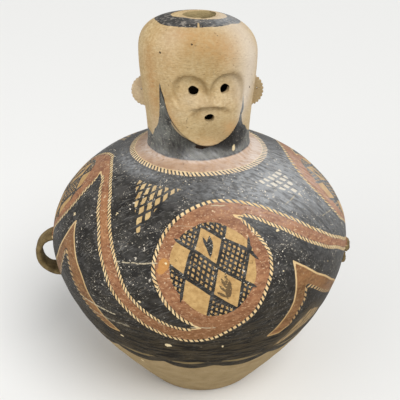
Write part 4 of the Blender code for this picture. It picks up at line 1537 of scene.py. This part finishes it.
dark_leaf = p.either(
    leaf((-2.6, 21.9), 10.2, 2.9, 2.0, 0.16, 80.0),
    leaf((-6.1, 24.3), 7.6, 1.5, -20.0, 0.16, 82.0),
)
faint_leaf = p.either(
    leaf((12.2, -18.9), 9.8, 3.1, 4.0, 0.40, 90.0),
    leaf((10.4, -9.0), 6.5, 1.4, -6.0, 0.30, 92.0),
    leaf((8.0, -12.3), 5.6, 1.5, -25.0, 0.30, 92.0),
    leaf((6.2, -23.0), 5.6, 1.4, -59.0, 0.30, 92.0),
    leaf((7.0, -17.5), 5.0, 1.3, -42.0, 0.30, 92.0),
)
veins = p.clouds(1.6, 1.0, 0.38, 0.04, (2.0, 2.0, 0.8), 95.0)
cell = p.mix(p.both(dark_leaf, p.no(netted)), cell, black)
cell = p.coat(cell, "4c3e2e", faint_leaf, p.no(netted), veins, 0.85)
in_disc = p.edge(disc_d, 4.0, 0.4, soft=0.15)
colour = p.mix(in_disc, colour, cell)
# At the left and right the brush ran on past the disc, in strokes that taper.
tapering = p.calc("SUBTRACT", p.wobble(nearest, 3.0, 0.25), p.calc("MULTIPLY", disc_d, 0.35))
run_on = p.both(p.over(disc_d, -4.0, 0.3), p.over(p.calc("ABSOLUTE", disc_x), 24.0, 1.5))
colour = p.mix(p.both(p.under(tapering, LINE_HALF, 0.2), run_on, p.no(in_disc)), colour, black)

# %% Forks with a cream outline and dashed inner edges
DASH_PITCH = 5.6
fork_u, fork_d, crotch = p.stored("fork")
fork_depth = p.wobble(fork_d, 6.0, 0.3, 100.0)
olive = p.tones(p.clouds(9.0, 4.0, 0.5, 0.14, (2.0, 2.0, 0.7), 17.0), "6c4a2c", "936842")
olive = p.coat(olive, "b08a5a", p.clouds(2.6, 4.0, 0.55, 0.07, (1.3, 1.3, 0.8), 18.0), 0.45)
olive = p.coat(olive, "d2b48a", p.hairs, 0.5)
fork_colour = p.mix(p.over(p.way_mm, 238.0, 25.0), olive, p.mix(0.5, brown, olive))
# The fork is darker where soot and painted shade lie.
fork_colour = p.coat(fork_colour, "62462c", p.soot, 0.6)
fork_colour = p.coat(fork_colour, "d8c09a", p.flecks, 0.7)
outline = p.under(fork_depth, 1.9, 0.25)
inner = p.both(p.under(crotch, 3.3, 0.3), p.over(p.way_mm, 172.0, 3.0))
dash_phase = p.scaled(fork_depth, 0.14, p.calc("DIVIDE", fork_u, DASH_PITCH))
dash = p.under(p.calc("FRACT", dash_phase), 0.42, 0.04)
fork_cream = p.mix(p.over(p.way_mm, 205.0, 30.0), paint("b08f60"), p.mix(0.5, cream, paint("c2a577")))
fork_colour = p.mix(p.both(outline, p.no(inner)), fork_colour, fork_cream)
fork_colour = p.mix(p.both(inner, p.no(dash), 0.7), fork_colour, fork_cream)
fork_colour = p.mix(p.both(inner, dash), fork_colour, black)
colour = p.mix(p.over(fork_depth, 0.0, 0.15), colour, fork_colour)

# %% Net triangles on the shoulder
strand_one, strand_two, net_d = p.stored("net")
mesh_one = p.over(p.calc("PINGPONG", p.wobble(strand_one, 9.0, 0.14, 110.0), 0.5), 0.16, 0.03)
mesh_two = p.over(p.calc("PINGPONG", p.wobble(strand_two, 6.0, 0.16, 120.0), 0.5), 0.225, 0.03)
net_mask = p.both(p.edge(net_d, 4.0, 0.6, 130.0), mesh_one, mesh_two)
# The net's cream is paler where the bloom and painted sheen lie.
net_cream = p.coat(p.tones(p.over(p.patchy, 0.5, 0.15), "b3935f", "d2b786"), "dbd4c6", p.bloom, 0.8)
colour = p.mix(p.both(net_mask, p.no(p.both(p.flaked, p.clusters))), colour, net_cream)

# %% Collar: red-brown band with a toothed lower edge
COLLAR_TEETH = 108.0
collar = p.tones(p.clouds(8.0, 4.0, 0.5, 0.15, (1.0, 1.0, 0.4), 140.0), "ab8668", "c3a183")
# The collar is paler where the lime haze and painted sheen lie, and darker where soot and painted shade lie.
collar = p.coat(collar, "dfd0c4", p.haze, 1.2)
collar = p.coat(collar, "8d7258", p.soot, 0.6)
collar_way = p.wobble(p.way_mm, 7.0, 0.6, 150.0)
tooth_phase = p.scaled(turn, COLLAR_TEETH / 360.0, p.calc("MULTIPLY", p.way_mm, 0.13))
tooth_cut = p.under(p.calc("FRACT", p.wobble(tooth_phase, 9.0, 0.12, 160.0)), 0.44, 0.05)
on_collar = p.both(p.over(collar_way, 350.3), p.under(collar_way, 373.0, 0.6))
colour = p.mix(on_collar, colour, collar)
# The teeth are paler where the bloom and painted light lie.
teeth_colour = p.coat(cream, "eee4d6", p.bloom, 0.6)
teeth_colour = p.mix(p.both(tooth_cut, p.under(p.way_mm, 355.6, 0.4)), teeth_colour, black)
colour = p.mix(p.both(on_collar, p.under(collar_way, 356.3)), colour, teeth_colour)

# %% Chips and scratches of age on the body
colour = wear_and_chin_shadow(p, colour)


def scratch(start, end, width, strength, ground):
    """A thin pale line between two places given as degrees and mm up the wall."""
    middle = 0.5 * (start[1] + end[1])
    scale = math.radians(1.0) * float(np.interp(middle, sheet_ways, sheet_radii)) * MM
    run = np.array([(end[0] - start[0]) * scale, end[1] - start[1]])
    length = float(np.hypot(*run))
    line = run / length
    dx = p.calc("MULTIPLY", p.calc("SUBTRACT", turn, start[0]), scale)
    dy = p.calc("SUBTRACT", p.way_mm, start[1])
    along = p.scaled(dx, line[0], p.calc("MULTIPLY", dy, line[1]))
    across = p.scaled(dx, -line[1], p.calc("MULTIPLY", dy, line[0]))
    thin = p.under(p.calc("ABSOLUTE", p.wobble(across, 8.0, 1.0, 220.0)), width, 0.3)
    ends = p.both(p.over(along, 0.0, 1.0), p.under(along, length, 1.0))
    broken = p.clouds(3.0, 2.0, 0.42, 0.05, shift=230.0)
    return p.coat(ground, "cbbd9f", thin, ends, broken, strength)


for start, end, width, strength in [
    ((-31, 249), (-15, 256), 0.55, 0.8), ((-47, 195), (-30, 193), 0.9, 0.8),
    ((6, 314.5), (13, 313.5), 0.7, 0.8), ((-14, 293), (-2, 293), 0.4, 0.3),
    ((-3, 194), (5, 193), 0.6, 0.7), ((45, 299), (54, 301), 0.5, 0.6),
    ((-42, 183), (-25, 182), 1.2, 0.35), ((60, 268), (70, 262), 0.5, 0.5),
]:
    colour = scratch(start, end, width, strength, colour)
painted_body = burnished(p, colour, p.both(on_body, p.no(band)))
print("nodes of the body's finish:", len(p.tree.nodes))

# %% Give each face its finish
HEAD_LOW = 373.7
INNER_DEPTH = 0.004
HANDLE_DEPTH = 0.0012
HANDLE_TOP = 0.22
SMOOTH_ANGLE = 40.0
jar.data.materials.clear()
for finish in (painted_body, painted_head, bare_clay):
    jar.data.materials.append(finish)
centres = np.array([face.center for face in jar.data.polygons])
facing = np.array([face.normal for face in jar.data.polygons])
centre_radius = np.hypot(centres[:, 0] - foot_lean(centres[:, 2]), centres[:, 1])
outward = centres[:, 0] * facing[:, 0] + centres[:, 1] * facing[:, 1]
outward /= np.maximum(centre_radius, 1e-6)
expected = np.interp(centres[:, 2], WALL_LINE[:, 1], WALL_LINE[:, 0])
turned_in = (outward < -0.2) | ((facing[:, 2] < -0.2) & (centres[:, 2] > BELLY_HEIGHT))
inner_wall = (expected - centre_radius > INNER_DEPTH) & (turned_in | (centres[:, 2] < 2.0 * FLOOR))
inner_wall |= (centre_radius < MOUTH_RADIUS + 0.4 * LIP) & (centres[:, 2] < HEAD_TOP - 0.5 * LIP)
on_handle = (centre_radius - expected > HANDLE_DEPTH) & (centres[:, 2] < HANDLE_TOP)
foot_face = centres[:, 2] < 0.5 * FOOT_EDGE
bare_faces = inner_wall | on_handle | foot_face
on_head = np.interp(centres[:, 2], sheet_heights, sheet_ways) > HEAD_LOW
finish_of = np.where(bare_faces, 2, np.where(on_head, 1, 0)).astype(np.int32)
jar.data.polygons.foreach_set("material_index", finish_of)
jar.data.shade_smooth()
pick(jar)
bpy.ops.object.shade_smooth_by_angle(angle=math.radians(SMOOTH_ANGLE))
print("faces of the body, the head and the bare clay:", np.bincount(finish_of))
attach(jar, "root")
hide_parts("jar")

# %% [markdown]
# ## The studio
#
# The jar stands on pale paper. A broad soft key light comes from the front right and above,
# a weak softbox fills the left side, and white surroundings lift the shadows.

# %% Floor
STUDIO_SIZE = 12.0

bpy.ops.mesh.primitive_plane_add(size=STUDIO_SIZE, location=(0.0, 0.0, 0.0))
floor = new_piece("floor")
ground = Nodes("pale_studio_floor")
ground.shader.inputs["Base Color"].default_value = paint("ececea")
ground.shader.inputs["Roughness"].default_value = 0.8
floor.data.materials.append(ground.material)
print("floor:", STUDIO_SIZE, "m wide")

# %% Studio light
WORLD_STRENGTH = 0.5
SUN_STRENGTH = 2.1
SUN_ANGLE = 35.0
SUN_FROM = (0.5, -0.72, 1.15)
FILL_PLACE = (-1.1, -1.0, 1.1)
FILL_SIZE = 1.0
FILL_POWER = 6.0
LOOK_AT = Vector((0.0, 0.0, 0.25))

world = bpy.data.worlds.new("studio")
bpy.context.scene.world = world
world.use_nodes = True
background = world.node_tree.nodes["Background"]
background.inputs["Color"].default_value = (1.0, 1.0, 1.0, 1.0)
background.inputs["Strength"].default_value = WORLD_STRENGTH
bpy.context.scene.view_settings.view_transform = "Standard"


def soft_light(name, location, size, energy):
    """A square softbox that looks at the middle of the jar."""
    data = bpy.data.lights.new(name, "AREA")
    data.shape = "SQUARE"
    data.size = size
    data.energy = energy
    lamp = bpy.data.objects.new(name, data)
    bpy.context.scene.collection.objects.link(lamp)
    lamp.location = location
    lamp.rotation_euler = (LOOK_AT - lamp.location).to_track_quat("-Z", "Y").to_euler()


sun_data = bpy.data.lights.new("key", "SUN")
sun_data.energy = SUN_STRENGTH
sun_data.angle = math.radians(SUN_ANGLE)
key = bpy.data.objects.new("key", sun_data)
bpy.context.scene.collection.objects.link(key)
key.rotation_euler = Vector(SUN_FROM).to_track_quat("Z", "Y").to_euler()
soft_light("fill", FILL_PLACE, FILL_SIZE, FILL_POWER)
print("lights:", key.name, "and a soft fill")
